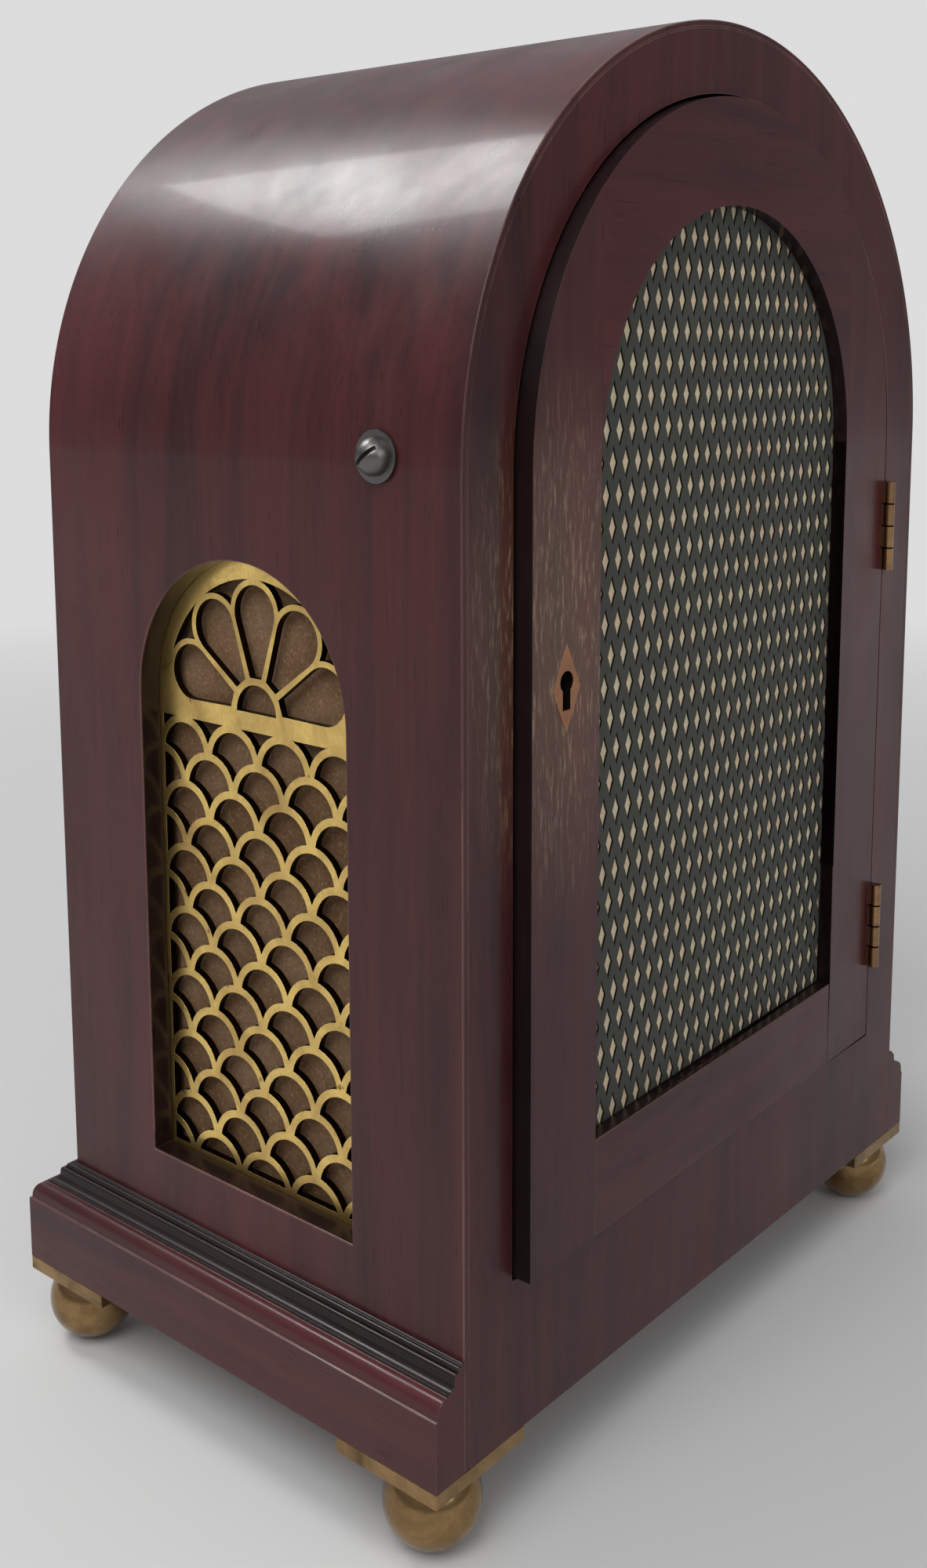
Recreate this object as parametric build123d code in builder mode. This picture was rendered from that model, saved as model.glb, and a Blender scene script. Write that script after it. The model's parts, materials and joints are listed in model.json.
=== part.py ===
from build123d import *
import os
from math import cos, sin, pi, radians, degrees, atan2, hypot, sqrt

# Arch-topped bracket clock, 10 in wide, with a single-fusee movement.
# X runs to the right seen from the dial, Y runs from the dial to the back, Z is up.
# The origin is on the table, under the middle of the whole clock.

os.makedirs("parts", exist_ok=True)

# Case
case_width = 254.0
case_depth = 172.0
case_middle_y = 3.6
arch_centre_z = 301.0
wall = 12.0
veneer = 2.0
board = 14.0
floor_board_thickness = 12.0
shelf_depth = 66.0
shelf_thickness = 12.0
shelf_top_z = 216.0
cleat_width = 16.0
cleat_clearance = 1.0
cleat_height = 14.0

# Feet and plinth
ball_radius = 14.2
ball_flat_radius = 3.2
plate_size = 38.0
plate_thickness = 4.6
base_z = 28.4
plinth_projection = 11.5
fascia_top_z = 54.6
plinth_top_z = 61.5
ovolo_radius = 4.2
reed_radius = 1.3

# Side windows: opening, fret, cloth glued inside the wall
window_width = 88.0
window_bottom_z = 80.0
window_spring_z = 228.6
fret_depth = 7.5
fret_thickness = 2.4
fret_border = 1.6
rebate_lip = 4.0
cloth_margin = 5.0
cloth_thickness = 0.8
scale_pitch = 22.0
scale_row = 10.15
scale_band = 2.4
bar_height = 5.7
bar_top_z = 226.6
petal_count = 5
petal_tip_radius = 6.6
petal_reach = 29.5
petal_foot = 11.0
petal_foot_width = 2.2
fan_hub_radius = 6.6
spandrel_reach = 38.5

# Rear door
door_radius = 105.3
door_gap = 0.9
door_bottom_z = 76.2
door_thickness = 12.0
door_glazing_radius = 74.0
door_glazing_bottom_z = 106.0
door_ajar = 1.5
grille_depth = 5.0
grille_thickness = 0.6
grille_lip = 4.0
diamond_width = 4.6
diamond_height = 10.6
diamond_pitch_x = 11.0
diamond_pitch_z = 15.3
bead_width = 6.0
bead_thickness = 3.0

# Butt hinges
hinge_length = 31.8
hinge_z = (119.4, 269.4)
knuckle_radius = 1.8
knuckles = 4
knuckle_gap = 0.3
hinge_pin_radius = 0.9
leaf_width = 9.0
leaf_thickness = 1.2
leaf_gap = 0.3
knuckle_stand_off = 2.1
pin_clearance = 0.06

# Lock
keyhole_z = 242.0
bolt_z = 255.0
lock_bottom_z = 232.0
lock_left_x = 81.0
lock_wall = 0.8
stile_middle_x = 90.0
escutcheon_height = 25.4
escutcheon_width = 11.0
escutcheon_thickness = 0.9
key_round_radius = 3.0
key_slot_width = 3.6
key_slot_length = 7.8
lock_height = 34.0
lock_width = 22.0
lock_thickness = 5.0
bolt_height = 12.0
bolt_thickness = 2.8
bolt_length = 17.0
bolt_throw = 4.0
bolt_clearance = 0.3

# Side bolts
side_bolt_z = 305.0
side_bolt_from_back = 28.8
washer_radius = 7.1
washer_thickness = 1.2
bolt_head_radius = 5.2
bolt_head_height = 5.0
bolt_shank_radius = 2.5
slot_width = 1.2
slot_depth = 2.2

# Dial and bezel
dial_radius = 96.0
dial_thickness = 1.6
dial_rise = 3.0
dial_set_back = 3.4
dial_hole_clearance = 0.4
dial_foot_radius = 2.5
dial_feet = ((-50, 50), (50, 50), (-50, -60), (50, -60))
winding_hole_radius = 5.0
bezel_outer_radius = 104.0
bezel_inner_radius = 91.0
bezel_height = 7.5
bezel_gap = 0.4
glass_thickness = 2.0
glass_rise = 9.0
glass_seat = 3.0
glass_clearance = 0.2
glass_lip = 3.0
bezel_knuckle_radius = 2.0
bezel_knuckle_half = 5.0
bezel_hinge_half = 12.0
bezel_plate_thickness = 1.2
bezel_plate_width = 12.0

# Hands
hand_thickness = 0.6
minute_hand_length = 82.0
hour_hand_length = 56.0
hour_hand_gap = 1.2
minute_hand_gap = 1.4

# Movement
plate_half_width = 64.0
plate_top_z = 370.0
movement_plate = 2.6
front_plate_from_panel = 24.4
strap_thickness = 3.0
strap_height = 14.0
plate_gap = 50.0
pillar_radius = 3.8
pillar_inset = 9.0
pillar_screw_radius = 1.6
pivot_radius = 0.9
running_gap = 0.06
end_shake = 0.3
arbor_radius = 1.3

# Wheel train: places are (x, z) from the hand centre
fusee_place = (0.0, -40.5)
barrel_place = (-42.0, -38.0)
third_place = (17.0, 21.3)
escape_place = (0.0, 37.0)
pallet_place = (0.0, 57.0)
minute_place = (-12.728, 12.728)
great_teeth = 96
centre_pinion_leaves = 8
centre_teeth = 84
third_pinion_leaves = 7
third_teeth = 78
escape_pinion_leaves = 7
escape_teeth = 30
cannon_teeth = 28
minute_teeth = 56
minute_pinion_leaves = 8
hour_teeth = 48
wheel_thickness = 1.6
pinion_length = 7.0
rim = 3.5
spoke = 3.0
great_wheel_from_plate = 2.4
centre_wheel_from_plate = 37.4
third_wheel_from_plate = 15.4
escape_wheel_from_plate = 27.4
fusee_wide_radius = 15.0
fusee_narrow_radius = 7.5
fusee_length = 27.0
barrel_radius = 18.0
barrel_wall = 1.5
barrel_length = 36.0
barrel_from_plate = 8.0
escape_radius = 14.0
escape_tooth_height = 3.2
pallet_clearance = 1.0

# Motion work and winding
cannon_pipe_radius = 2.6
hour_pipe_radius = 4.2
motion_first_gap = 1.0
motion_second_gap = 4.0
square_size = 4.0

# Pendulum and crutch
pendulum_from_plate = 26.0
pendulum_length = 200.0
bob_radius = 24.0
bob_thickness = 11.0
rod_radius = 1.4
crutch_length = 70.0
cock_depth = 16.0
cock_half_width = 20.0
cock_height = 16.0
cock_wall = 2.6
suspension_width = 4.0
suspension_thickness = 0.3
suspension_room = 0.35
suspension_end_room = 0.2

# Worked-out places
front_y = case_middle_y - case_depth / 2
back_y = case_middle_y + case_depth / 2
case_radius = case_width / 2
inner_radius = case_radius - wall
panel_radius = case_radius - veneer
window_radius = window_width / 2
frame_radius = door_radius + door_gap
hinge_x = -(door_radius + door_gap / 2)
hinge_y = back_y + knuckle_stand_off
glazing_rebate = door_glazing_radius + grille_lip
front_plate_y = front_y + front_plate_from_panel
inside_front = front_plate_y + movement_plate
back_plate_y = inside_front + plate_gap
behind_plates = back_plate_y + movement_plate
pendulum_y = back_plate_y + pendulum_from_plate


def save(piece, name, swing=0.0):
    """Labels a finished piece, swings it with the rear door, and writes it to its own file."""
    shape = piece.part
    if swing:
        shape = shape.rotate(Axis((hinge_x, hinge_y, 0), (0, 0, 1)), swing)
    shape.label = name
    export_step(shape, f"parts/{name}.step")


def arch(radius, bottom_z, centre_z=arch_centre_z):
    """Returns a round-headed outline standing on bottom_z."""
    with BuildSketch() as outline:
        with BuildLine():
            Polyline((-radius, centre_z), (-radius, bottom_z), (radius, bottom_z), (radius, centre_z))
            ThreePointArc((radius, centre_z), (0, centre_z + radius), (-radius, centre_z))
        make_face()
    return outline.sketch


def facing_back(y):
    """A drawing plane at y with the clock's X and Z; a positive extrusion goes towards the dial."""
    return Plane((0, y, 0), x_dir=(1, 0, 0), z_dir=(0, -1, 0))


def facing_right(x):
    """A drawing plane at x with the clock's Y and Z; a positive extrusion goes to the right."""
    return Plane((x, 0, 0), x_dir=(0, 1, 0), z_dir=(1, 0, 0))


def block(x0, x1, y0, y1, z0, z1, mode=Mode.ADD):
    """Adds or cuts a square-cornered block between the given limits."""
    with Locations(((x0 + x1) / 2, (y0 + y1) / 2, (z0 + z1) / 2)):
        Box(x1 - x0, y1 - y0, z1 - z0, mode=mode)


def rod(x, z, y0, y1, radius, mode=Mode.ADD):
    """Adds or cuts a round bar along Y."""
    with Locations(Location((x, (y0 + y1) / 2, z), (90, 0, 0))):
        Cylinder(radius, y1 - y0, mode=mode)


def upright(x, y, z0, z1, radius, mode=Mode.ADD):
    """Adds or cuts a round bar along Z."""
    with Locations((x, y, (z0 + z1) / 2)):
        Cylinder(radius, z1 - z0, mode=mode)


def wheel(teeth, root, tip, turn=0.0, hole=0.0, spokes=0):
    """Returns a toothed outline with pointed teeth, a hole and, where asked, crossings."""
    with BuildSketch() as outline:
        points = []
        for i in range(teeth):
            a = turn + 2 * pi * i / teeth
            b = a + pi / teeth
            points += [(tip * cos(a), tip * sin(a)), (root * cos(b), root * sin(b))]
        with BuildLine():
            Polyline(*points, close=True)
        make_face()
        if spokes:
            RegularPolygon(root - rim, 16, mode=Mode.SUBTRACT)
            with PolarLocations(0, spokes):
                Rectangle(root - rim / 2, spoke, align=(Align.MIN, Align.CENTER))
            RegularPolygon(arbor_radius + 3, 8)
        if hole:
            Circle(hole, mode=Mode.SUBTRACT)
    return outline.sketch


def bulge(radius, rise):
    """Returns how far a shallow dome stands up halfway out from its middle."""
    curve = (radius**2 + rise**2) / (2 * rise)
    return rise - (curve - sqrt(curve**2 - radius**2 / 4))


def place_at(place):
    """Turns a place in the train into X and Z on the clock."""
    return place[0], arch_centre_z + place[1]


# Case: bent shell of sides and barrel top, rebated for the front panel and the rear frame
with BuildPart() as carcass:
    with BuildSketch(facing_back(back_y)):
        add(arch(case_radius, base_z))
        add(arch(inner_radius, base_z), mode=Mode.SUBTRACT)
    extrude(amount=case_depth)
    for end_y in (back_y, front_y + board):
        with BuildSketch(facing_back(end_y)):
            add(arch(panel_radius, base_z))
        extrude(amount=board, mode=Mode.SUBTRACT)
    with BuildSketch(facing_right(-case_radius)):
        with Locations((case_middle_y, 0)):
            add(arch(window_radius, window_bottom_z, window_spring_z))
    extrude(amount=case_width, mode=Mode.SUBTRACT)
    for side in (-1, 1):
        with BuildSketch(facing_right(side * (case_radius - fret_depth))):
            with Locations((case_middle_y, 0)):
                add(arch(window_radius + rebate_lip, window_bottom_z - rebate_lip, window_spring_z))
        extrude(amount=-side * wall, mode=Mode.SUBTRACT)
        bolt_place = (side * (case_radius - wall / 2), back_y - side_bolt_from_back, side_bolt_z)
        with Locations(Location(bolt_place, (0, 90, 0))):
            Cylinder(bolt_shank_radius, wall * 1.5, mode=Mode.SUBTRACT)
save(carcass, "carcass")

# Front panel with its round dial hole
with BuildPart() as front_panel:
    with BuildSketch(facing_back(front_y + board)):
        add(arch(panel_radius, base_z))
        with Locations((0, arch_centre_z)):
            Circle(dial_radius + dial_hole_clearance, mode=Mode.SUBTRACT)
    extrude(amount=board)
save(front_panel, "front_panel")

# Rear frame with the door opening, hinge recesses and the lock's mortise
with BuildPart() as rear_frame:
    with BuildSketch(facing_back(back_y)):
        add(arch(panel_radius, base_z))
        add(arch(frame_radius, door_bottom_z - door_gap), mode=Mode.SUBTRACT)
    extrude(amount=board)
    for z in hinge_z:
        block(hinge_x - leaf_gap / 2 - leaf_thickness, hinge_x, back_y - leaf_width, back_y,
              z - hinge_length / 2, z + hinge_length / 2, Mode.SUBTRACT)
    block(frame_radius, panel_radius + 1, back_y - board - 1, back_y + 1, door_bottom_z - door_gap,
          arch_centre_z, Mode.SUBTRACT)
save(rear_frame, "rear_frame")

# Lock post: the frame's right side, jointed in, with the mortise that takes the bolt
with BuildPart() as lock_post:
    block(frame_radius, panel_radius, back_y - board, back_y, door_bottom_z - door_gap, arch_centre_z)
    block(frame_radius - 1, frame_radius + bolt_throw + 1.5, back_y - board + 1.4, back_y - 1.8,
          bolt_z - bolt_height / 2 - 1, bolt_z + bolt_height / 2 + 1, Mode.SUBTRACT)
save(lock_post, "rear_frame_lock_post")

# Floor board between the sides
with BuildPart() as floor_board:
    block(-inner_radius, inner_radius, front_y + board, back_y - board,
          base_z, base_z + floor_board_thickness)
save(floor_board, "floor_board")


def plinth_profile():
    """Returns the moulding's section: X is the distance out from the case, Y is Z."""
    p = plinth_projection
    top = plinth_top_z
    cavetto_foot = fascia_top_z + 1.2
    with BuildSketch() as section:
        with BuildLine():
            Polyline((0, base_z), (p, base_z), (p, fascia_top_z - ovolo_radius))
            ThreePointArc((p, fascia_top_z - ovolo_radius),
                          (p - ovolo_radius * 0.293, fascia_top_z - ovolo_radius * 0.293),
                          (p - ovolo_radius, fascia_top_z))
            Polyline((p - ovolo_radius, fascia_top_z), (p - ovolo_radius, cavetto_foot))
            ThreePointArc((p - ovolo_radius, cavetto_foot), (3.6, top - 4.0),
                          (2 * reed_radius, top - 2 * reed_radius))
            Polyline((2 * reed_radius, top - 2 * reed_radius), (reed_radius, top - 2 * reed_radius),
                     (reed_radius, top - reed_radius), (0.4, top), (0, top), (0, base_z))
        make_face()
    return section.sketch


# Plinth mouldings: the front one runs across, the side ones run back, mitred at the front corners
reach = case_radius + plinth_projection
with BuildPart() as plinth_front:
    with BuildSketch(Plane((-reach, front_y, 0), x_dir=(0, -1, 0), z_dir=(-1, 0, 0))):
        add(plinth_profile())
    extrude(amount=-2 * reach)
    for side in (-1, 1):
        with BuildSketch(Plane.XY.offset(base_z - 1)):
            with BuildLine():
                Polyline((side * case_radius, front_y), (side * (reach + 5), front_y - plinth_projection - 5),
                         (side * (reach + 5), front_y), close=True)
            make_face()
        extrude(amount=plinth_top_z, mode=Mode.SUBTRACT)
save(plinth_front, "plinth_front")

with BuildPart() as plinth_right:
    with BuildSketch(Plane((case_radius, back_y, 0), x_dir=(1, 0, 0), z_dir=(0, -1, 0))):
        add(plinth_profile())
    extrude(amount=case_depth + plinth_projection)
    with BuildSketch(Plane.XY.offset(base_z - 1)):
        with BuildLine():
            Polyline((case_radius, front_y), (reach + 5, front_y - plinth_projection - 5),
                     (case_radius - 5, front_y - plinth_projection - 5), (case_radius - 5, front_y),
                     close=True)
        make_face()
    extrude(amount=plinth_top_z, mode=Mode.SUBTRACT)
save(plinth_right, "plinth_right")

with BuildPart() as plinth_left:
    add(mirror(plinth_right.part, about=Plane.YZ))
save(plinth_left, "plinth_left")

# Ball feet, each cast in one with its square plate
foot_x = reach - plate_size / 2
feet = {
    "foot_front_left": (-1, front_y - plinth_projection, 1),
    "foot_front_right": (1, front_y - plinth_projection, 1),
    "foot_rear_left": (-1, back_y, -1),
    "foot_rear_right": (1, back_y, -1),
}
ball_flat_z = ball_radius - sqrt(ball_radius**2 - ball_flat_radius**2)
for name, (side, edge_y, inward) in feet.items():
    with BuildPart() as foot:
        with Locations((side * (reach - ball_radius), edge_y + inward * ball_radius,
                        ball_radius - ball_flat_z)):
            Sphere(ball_radius)
        block(-reach, reach, -case_depth, case_depth, -ball_radius, 0, Mode.SUBTRACT)
        block(-reach, reach, -case_depth, case_depth, base_z - plate_thickness, base_z + 2 * ball_radius,
              Mode.SUBTRACT)
        with Locations((side * foot_x, edge_y + inward * plate_size / 2, base_z - plate_thickness / 2)):
            Box(plate_size, plate_size, plate_thickness)
    save(foot, name)


def scale_opening():
    """Returns one opening of the fish-scale fret: an arch above, two arcs of the row below."""
    inner = scale_pitch / 2 - scale_band * 0.72
    outer = inner + scale_band
    dx, dz = scale_pitch / 2, scale_row
    d = hypot(dx, dz)
    a = (inner**2 - outer**2 + d**2) / (2 * d)
    h = sqrt(inner**2 - a**2)
    corner = (a * dx / d + h * dz / d, -a * dz / d + h * dx / d)
    start = atan2(corner[1], corner[0])
    cusp = (0, -dz + sqrt(outer**2 - dx**2))
    first = atan2(corner[1] + dz, corner[0] - dx)
    last = atan2(cusp[1] + dz, -dx)
    mid = (first + last) / 2 if last > 0 else (first + last + 2 * pi) / 2
    side_point = (dx + outer * cos(mid), -dz + outer * sin(mid))
    arc_points = [(inner * cos(t), inner * sin(t))
                  for t in (start, (start + pi / 2) / 2, pi / 2, pi - (start + pi / 2) / 2, pi - start)]
    with BuildSketch() as opening:
        with BuildLine():
            Polyline(*arc_points, (-side_point[0], side_point[1]), cusp, side_point, close=True)
        make_face()
    return opening.sketch


# Side frets: fish scales below a bar, a fan of five petals in the arch
with BuildSketch() as scales:
    bar_bottom = bar_top_z - bar_height
    rows = int((bar_bottom - window_bottom_z) / scale_row) + 2
    for row in range(rows):
        z = bar_bottom - fret_border - scale_pitch * 0.42 - row * scale_row
        shift = 0 if row % 2 else scale_pitch / 2
        with Locations(*[(shift + i * scale_pitch, z) for i in range(-3, 3)]):
            add(scale_opening())
    with BuildSketch(mode=Mode.INTERSECT):
        with Locations((0, (window_bottom_z + bar_bottom) / 2)):
            Rectangle(window_width - 2 * fret_border, bar_bottom - window_bottom_z - 2 * fret_border)
with BuildSketch() as fan:
    with Locations((0, bar_top_z)):
        for i in range(petal_count):
            angle = (i + 0.5) * 180 / petal_count
            with Locations(Rotation(0, 0, angle)):
                with BuildSketch(mode=Mode.ADD):
                    with BuildLine():
                        Polyline((petal_reach + 2, -petal_tip_radius * 0.95),
                                 (petal_foot, -petal_foot_width / 2),
                                 (petal_foot, petal_foot_width / 2),
                                 (petal_reach + 2, petal_tip_radius * 0.95),
                                 (petal_reach + petal_tip_radius * 0.7, petal_tip_radius * 0.68),
                                 (petal_reach + petal_tip_radius, 0),
                                 (petal_reach + petal_tip_radius * 0.7, -petal_tip_radius * 0.68), close=True)
                    make_face()
    with BuildSketch(mode=Mode.ADD):
        with Locations((0, bar_top_z)):
            RegularPolygon(fan_hub_radius, 12)
        with Locations((0, bar_top_z - 10)):
            Rectangle(40, 20, mode=Mode.SUBTRACT)
    spandrel = ((spandrel_reach - 5.0, 0), (spandrel_reach, 0.11), (spandrel_reach, -0.11))
    for i in range(petal_count - 1):
        t = radians((i + 1) * 180 / petal_count)
        with BuildLine():
            Polyline(*[(r * cos(t + q), bar_top_z + r * sin(t + q)) for r, q in spandrel], close=True)
        make_face()

for side, name in ((-1, "left"), (1, "right")):
    face_x = side * (case_radius - fret_depth)
    clear = 0.15
    with BuildPart() as side_fret:
        with BuildSketch(facing_right(face_x)):
            with Locations((case_middle_y, 0)):
                add(arch(window_radius + rebate_lip - clear, window_bottom_z - rebate_lip + clear,
                         window_spring_z))
                add(scales.sketch, mode=Mode.SUBTRACT)
                add(fan.sketch, mode=Mode.SUBTRACT)
        extrude(amount=-side * fret_thickness)
    save(side_fret, f"side_fret_{name}")
    with BuildPart() as side_cloth:
        with BuildSketch(facing_right(side * inner_radius)):
            with Locations((case_middle_y, 0)):
                margin = rebate_lip + cloth_margin
                add(arch(window_radius + margin, window_bottom_z - margin, window_spring_z))
        extrude(amount=-side * cloth_thickness)
    save(side_cloth, f"side_cloth_{name}")

# Side bolts through the walls into the straps that steady the movement
bolt_y = back_y - side_bolt_from_back
strap_x = inner_radius - 0.7
for side, name in ((-1, "left"), (1, "right")):
    with BuildPart() as washer:
        washer_place = (side * (case_radius + washer_thickness / 2), bolt_y, side_bolt_z)
        with Locations(Location(washer_place, (0, 90, 0))):
            Cylinder(washer_radius, washer_thickness)
            Cylinder(bolt_shank_radius, 3 * washer_thickness, mode=Mode.SUBTRACT)
    save(washer, f"side_washer_{name}")
    head_x = case_radius + washer_thickness
    with BuildPart() as side_bolt:
        with BuildSketch(Plane((0, bolt_y, side_bolt_z), x_dir=(side, 0, 0), z_dir=(0, 0, 1))):
            with BuildLine():
                Polyline((strap_x - strap_thickness, 0), (strap_x - strap_thickness, bolt_shank_radius),
                         (head_x, bolt_shank_radius), (head_x, bolt_head_radius),
                         (head_x + 1.5, bolt_head_radius))
                ThreePointArc((head_x + 1.5, bolt_head_radius),
                              (head_x + bolt_head_height * 0.82, bolt_head_radius * 0.62),
                              (head_x + bolt_head_height, 0))
                Line((head_x + bolt_head_height, 0), (strap_x - strap_thickness, 0))
            make_face()
        revolve(axis=Axis((0, bolt_y, side_bolt_z), (1, 0, 0)))
        end_x = side * (head_x + bolt_head_height)
        with Locations(Location((end_x, bolt_y, side_bolt_z), (45, 0, 0))):
            Box(2 * slot_depth, 20, slot_width, mode=Mode.SUBTRACT)
    save(side_bolt, f"side_bolt_{name}")
    with BuildPart() as strap:
        z0, z1 = side_bolt_z - strap_height / 2, side_bolt_z + strap_height / 2
        block(*sorted((side * (plate_half_width - 16), side * strap_x)),
              behind_plates, behind_plates + strap_thickness, z0, z1)
        block(*sorted((side * (strap_x - strap_thickness), side * strap_x)),
              behind_plates, bolt_y + 8, z0, z1)
        with Locations(Location((side * strap_x, bolt_y, side_bolt_z), (0, 90, 0))):
            Cylinder(bolt_shank_radius, 20, mode=Mode.SUBTRACT)
    save(strap, f"steady_strap_{name}")

# Shelf that the movement stands on, and the cleats under it
shelf_front = front_y + board
with BuildPart() as movement_shelf:
    block(-inner_radius + 1.2, inner_radius - 1.2, shelf_front, shelf_front + shelf_depth,
          shelf_top_z - shelf_thickness, shelf_top_z)
save(movement_shelf, "movement_shelf")
cleat_back = case_middle_y - window_width / 2 - rebate_lip - cloth_margin - cleat_clearance
for side, name in ((-1, "left"), (1, "right")):
    with BuildPart() as cleat:
        block(*sorted((side * (inner_radius - cleat_width), side * inner_radius)), shelf_front, cleat_back,
              shelf_top_z - shelf_thickness - cleat_height, shelf_top_z - shelf_thickness)
    save(cleat, f"shelf_cleat_{name}")

# Butt hinges: the case leaf carries the riveted pin, the door leaf turns on it
zone = (hinge_length + knuckle_gap) / knuckles
for level, middle in zip(("lower", "upper"), hinge_z):
    bottom = middle - hinge_length / 2
    for owner, side, first in (("case", -1, 0), ("door", 1, 1)):
        near, far = hinge_x + side * leaf_gap / 2, hinge_x + side * (leaf_gap / 2 + leaf_thickness)
        with BuildPart() as leaf:
            block(min(near, far), max(near, far), back_y - leaf_width, hinge_y, bottom, bottom + hinge_length)
            upright(hinge_x, hinge_y, bottom - 1, bottom + hinge_length + 1, knuckle_radius + leaf_gap,
                    Mode.SUBTRACT)
            for k in range(first, knuckles, 2):
                z0 = bottom + k * zone
                z1 = z0 + zone - knuckle_gap
                upright(hinge_x, hinge_y, z0, z1, knuckle_radius)
                block(min(near, far), max(near, far), back_y - 3, hinge_y, z0, z1)
            if owner == "door":
                upright(hinge_x, hinge_y, bottom - 1, bottom + hinge_length + 1,
                        hinge_pin_radius + pin_clearance, Mode.SUBTRACT)
            else:
                upright(hinge_x, hinge_y, bottom, bottom + hinge_length, hinge_pin_radius)
        save(leaf, f"hinge_{owner}_leaf_{level}", door_ajar if owner == "door" else 0)

# Rear door: two full-height stiles, a bottom rail and an arched head between them
with BuildPart() as door_blank:
    with BuildSketch(facing_back(back_y)):
        add(arch(door_radius, door_bottom_z))
        add(arch(door_glazing_radius, door_glazing_bottom_z), mode=Mode.SUBTRACT)
    extrude(amount=door_thickness)
    with BuildSketch(facing_back(back_y - grille_depth)):
        add(arch(glazing_rebate, door_glazing_bottom_z - grille_lip))
    extrude(amount=door_thickness, mode=Mode.SUBTRACT)
    for z in hinge_z:
        block(hinge_x - 1, hinge_x + leaf_gap / 2 + leaf_thickness, back_y - leaf_width, back_y,
              z - hinge_length / 2, z + hinge_length / 2, Mode.SUBTRACT)
    lock_inner_y = back_y - door_thickness
    block(lock_left_x, lock_left_x + lock_width, lock_inner_y, lock_inner_y + lock_thickness,
          lock_bottom_z, lock_bottom_z + lock_height, Mode.SUBTRACT)
    block(lock_left_x + lock_width - 1, door_radius + 1, lock_inner_y + lock_wall,
          lock_inner_y + lock_thickness - lock_wall, bolt_z - bolt_height / 2 - bolt_clearance,
          bolt_z + bolt_height / 2 + bolt_clearance, Mode.SUBTRACT)
    rod(stile_middle_x, keyhole_z + 2.5, back_y - door_thickness, back_y + 1, key_round_radius, Mode.SUBTRACT)
    block(stile_middle_x - key_slot_width / 2, stile_middle_x + key_slot_width / 2, back_y - door_thickness,
          back_y + 1, keyhole_z + 2.5 - key_slot_length, keyhole_z + 2.5, Mode.SUBTRACT)
joint = door_glazing_radius
door_parts = {
    "door_hinge_stile": (-door_radius - 1, -joint, 0, 500),
    "door_lock_stile": (joint, door_radius + 1, 0, 500),
    "door_bottom_rail": (-joint, joint, 0, door_glazing_bottom_z + 50),
    "door_arch_head": (-joint, joint, door_glazing_bottom_z + 50, 500),
}
for name, (x0, x1, z0, z1) in door_parts.items():
    with BuildPart() as door_part:
        add(door_blank.part)
        block(x0, x1, back_y - 50, back_y + 50, z0, z1, Mode.INTERSECT)
    save(door_part, name, door_ajar)

# Grille, gold cloth and the bead that holds both in the door's rebate
inside_fit = 0.15
with BuildSketch() as rebate_shape:
    add(arch(glazing_rebate - inside_fit, door_glazing_bottom_z - grille_lip + inside_fit))
with BuildPart() as rear_grille:
    with BuildSketch(facing_back(back_y - grille_depth)):
        add(rebate_shape.sketch)
        places = []
        for row in range(40):
            z = door_glazing_bottom_z + diamond_height * 0.62 + row * diamond_pitch_z / 2 * 2
            for i in range(-8, 9):
                x = (i + (0.5 if row % 2 else 0)) * diamond_pitch_x
                rise = max(0, z + diamond_height / 2 - arch_centre_z)
                if hypot(abs(x) + diamond_width / 2, rise) < door_glazing_radius - 1:
                    places.append((x, z))
        with Locations(*places):
            with BuildSketch(mode=Mode.SUBTRACT):
                w, h = diamond_width / 2, diamond_height / 2
                with BuildLine():
                    Polyline((w, 0), (0, h), (-w, 0), (0, -h), close=True)
                make_face()
    extrude(amount=grille_thickness)
save(rear_grille, "rear_grille", door_ajar)
with BuildPart() as door_cloth:
    with BuildSketch(facing_back(back_y - grille_depth - grille_thickness)):
        add(rebate_shape.sketch)
    extrude(amount=cloth_thickness)
save(door_cloth, "door_cloth", door_ajar)
with BuildPart() as door_bead:
    with BuildSketch(facing_back(back_y - grille_depth - grille_thickness - cloth_thickness)):
        add(rebate_shape.sketch)
        add(arch(glazing_rebate - bead_width, door_glazing_bottom_z - grille_lip + bead_width),
            mode=Mode.SUBTRACT)
    extrude(amount=bead_thickness)
save(door_bead, "door_bead", door_ajar)

# Escutcheon, lock case and its bolt
with BuildPart() as door_escutcheon:
    with BuildSketch(facing_back(back_y + escutcheon_thickness)):
        with Locations((stile_middle_x, keyhole_z)):
            w, h = escutcheon_width / 2, escutcheon_height / 2
            with BuildLine():
                Polyline((stile_middle_x + w, keyhole_z), (stile_middle_x, keyhole_z + h),
                         (stile_middle_x - w, keyhole_z), (stile_middle_x, keyhole_z - h), close=True)
            make_face()
    extrude(amount=escutcheon_thickness)
    rod(stile_middle_x, keyhole_z + 2.5, back_y - 1, back_y + 2, key_round_radius, Mode.SUBTRACT)
    block(stile_middle_x - key_slot_width / 2, stile_middle_x + key_slot_width / 2, back_y - 1, back_y + 2,
          keyhole_z + 2.5 - key_slot_length, keyhole_z + 2.5, Mode.SUBTRACT)
save(door_escutcheon, "door_escutcheon", door_ajar)
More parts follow.
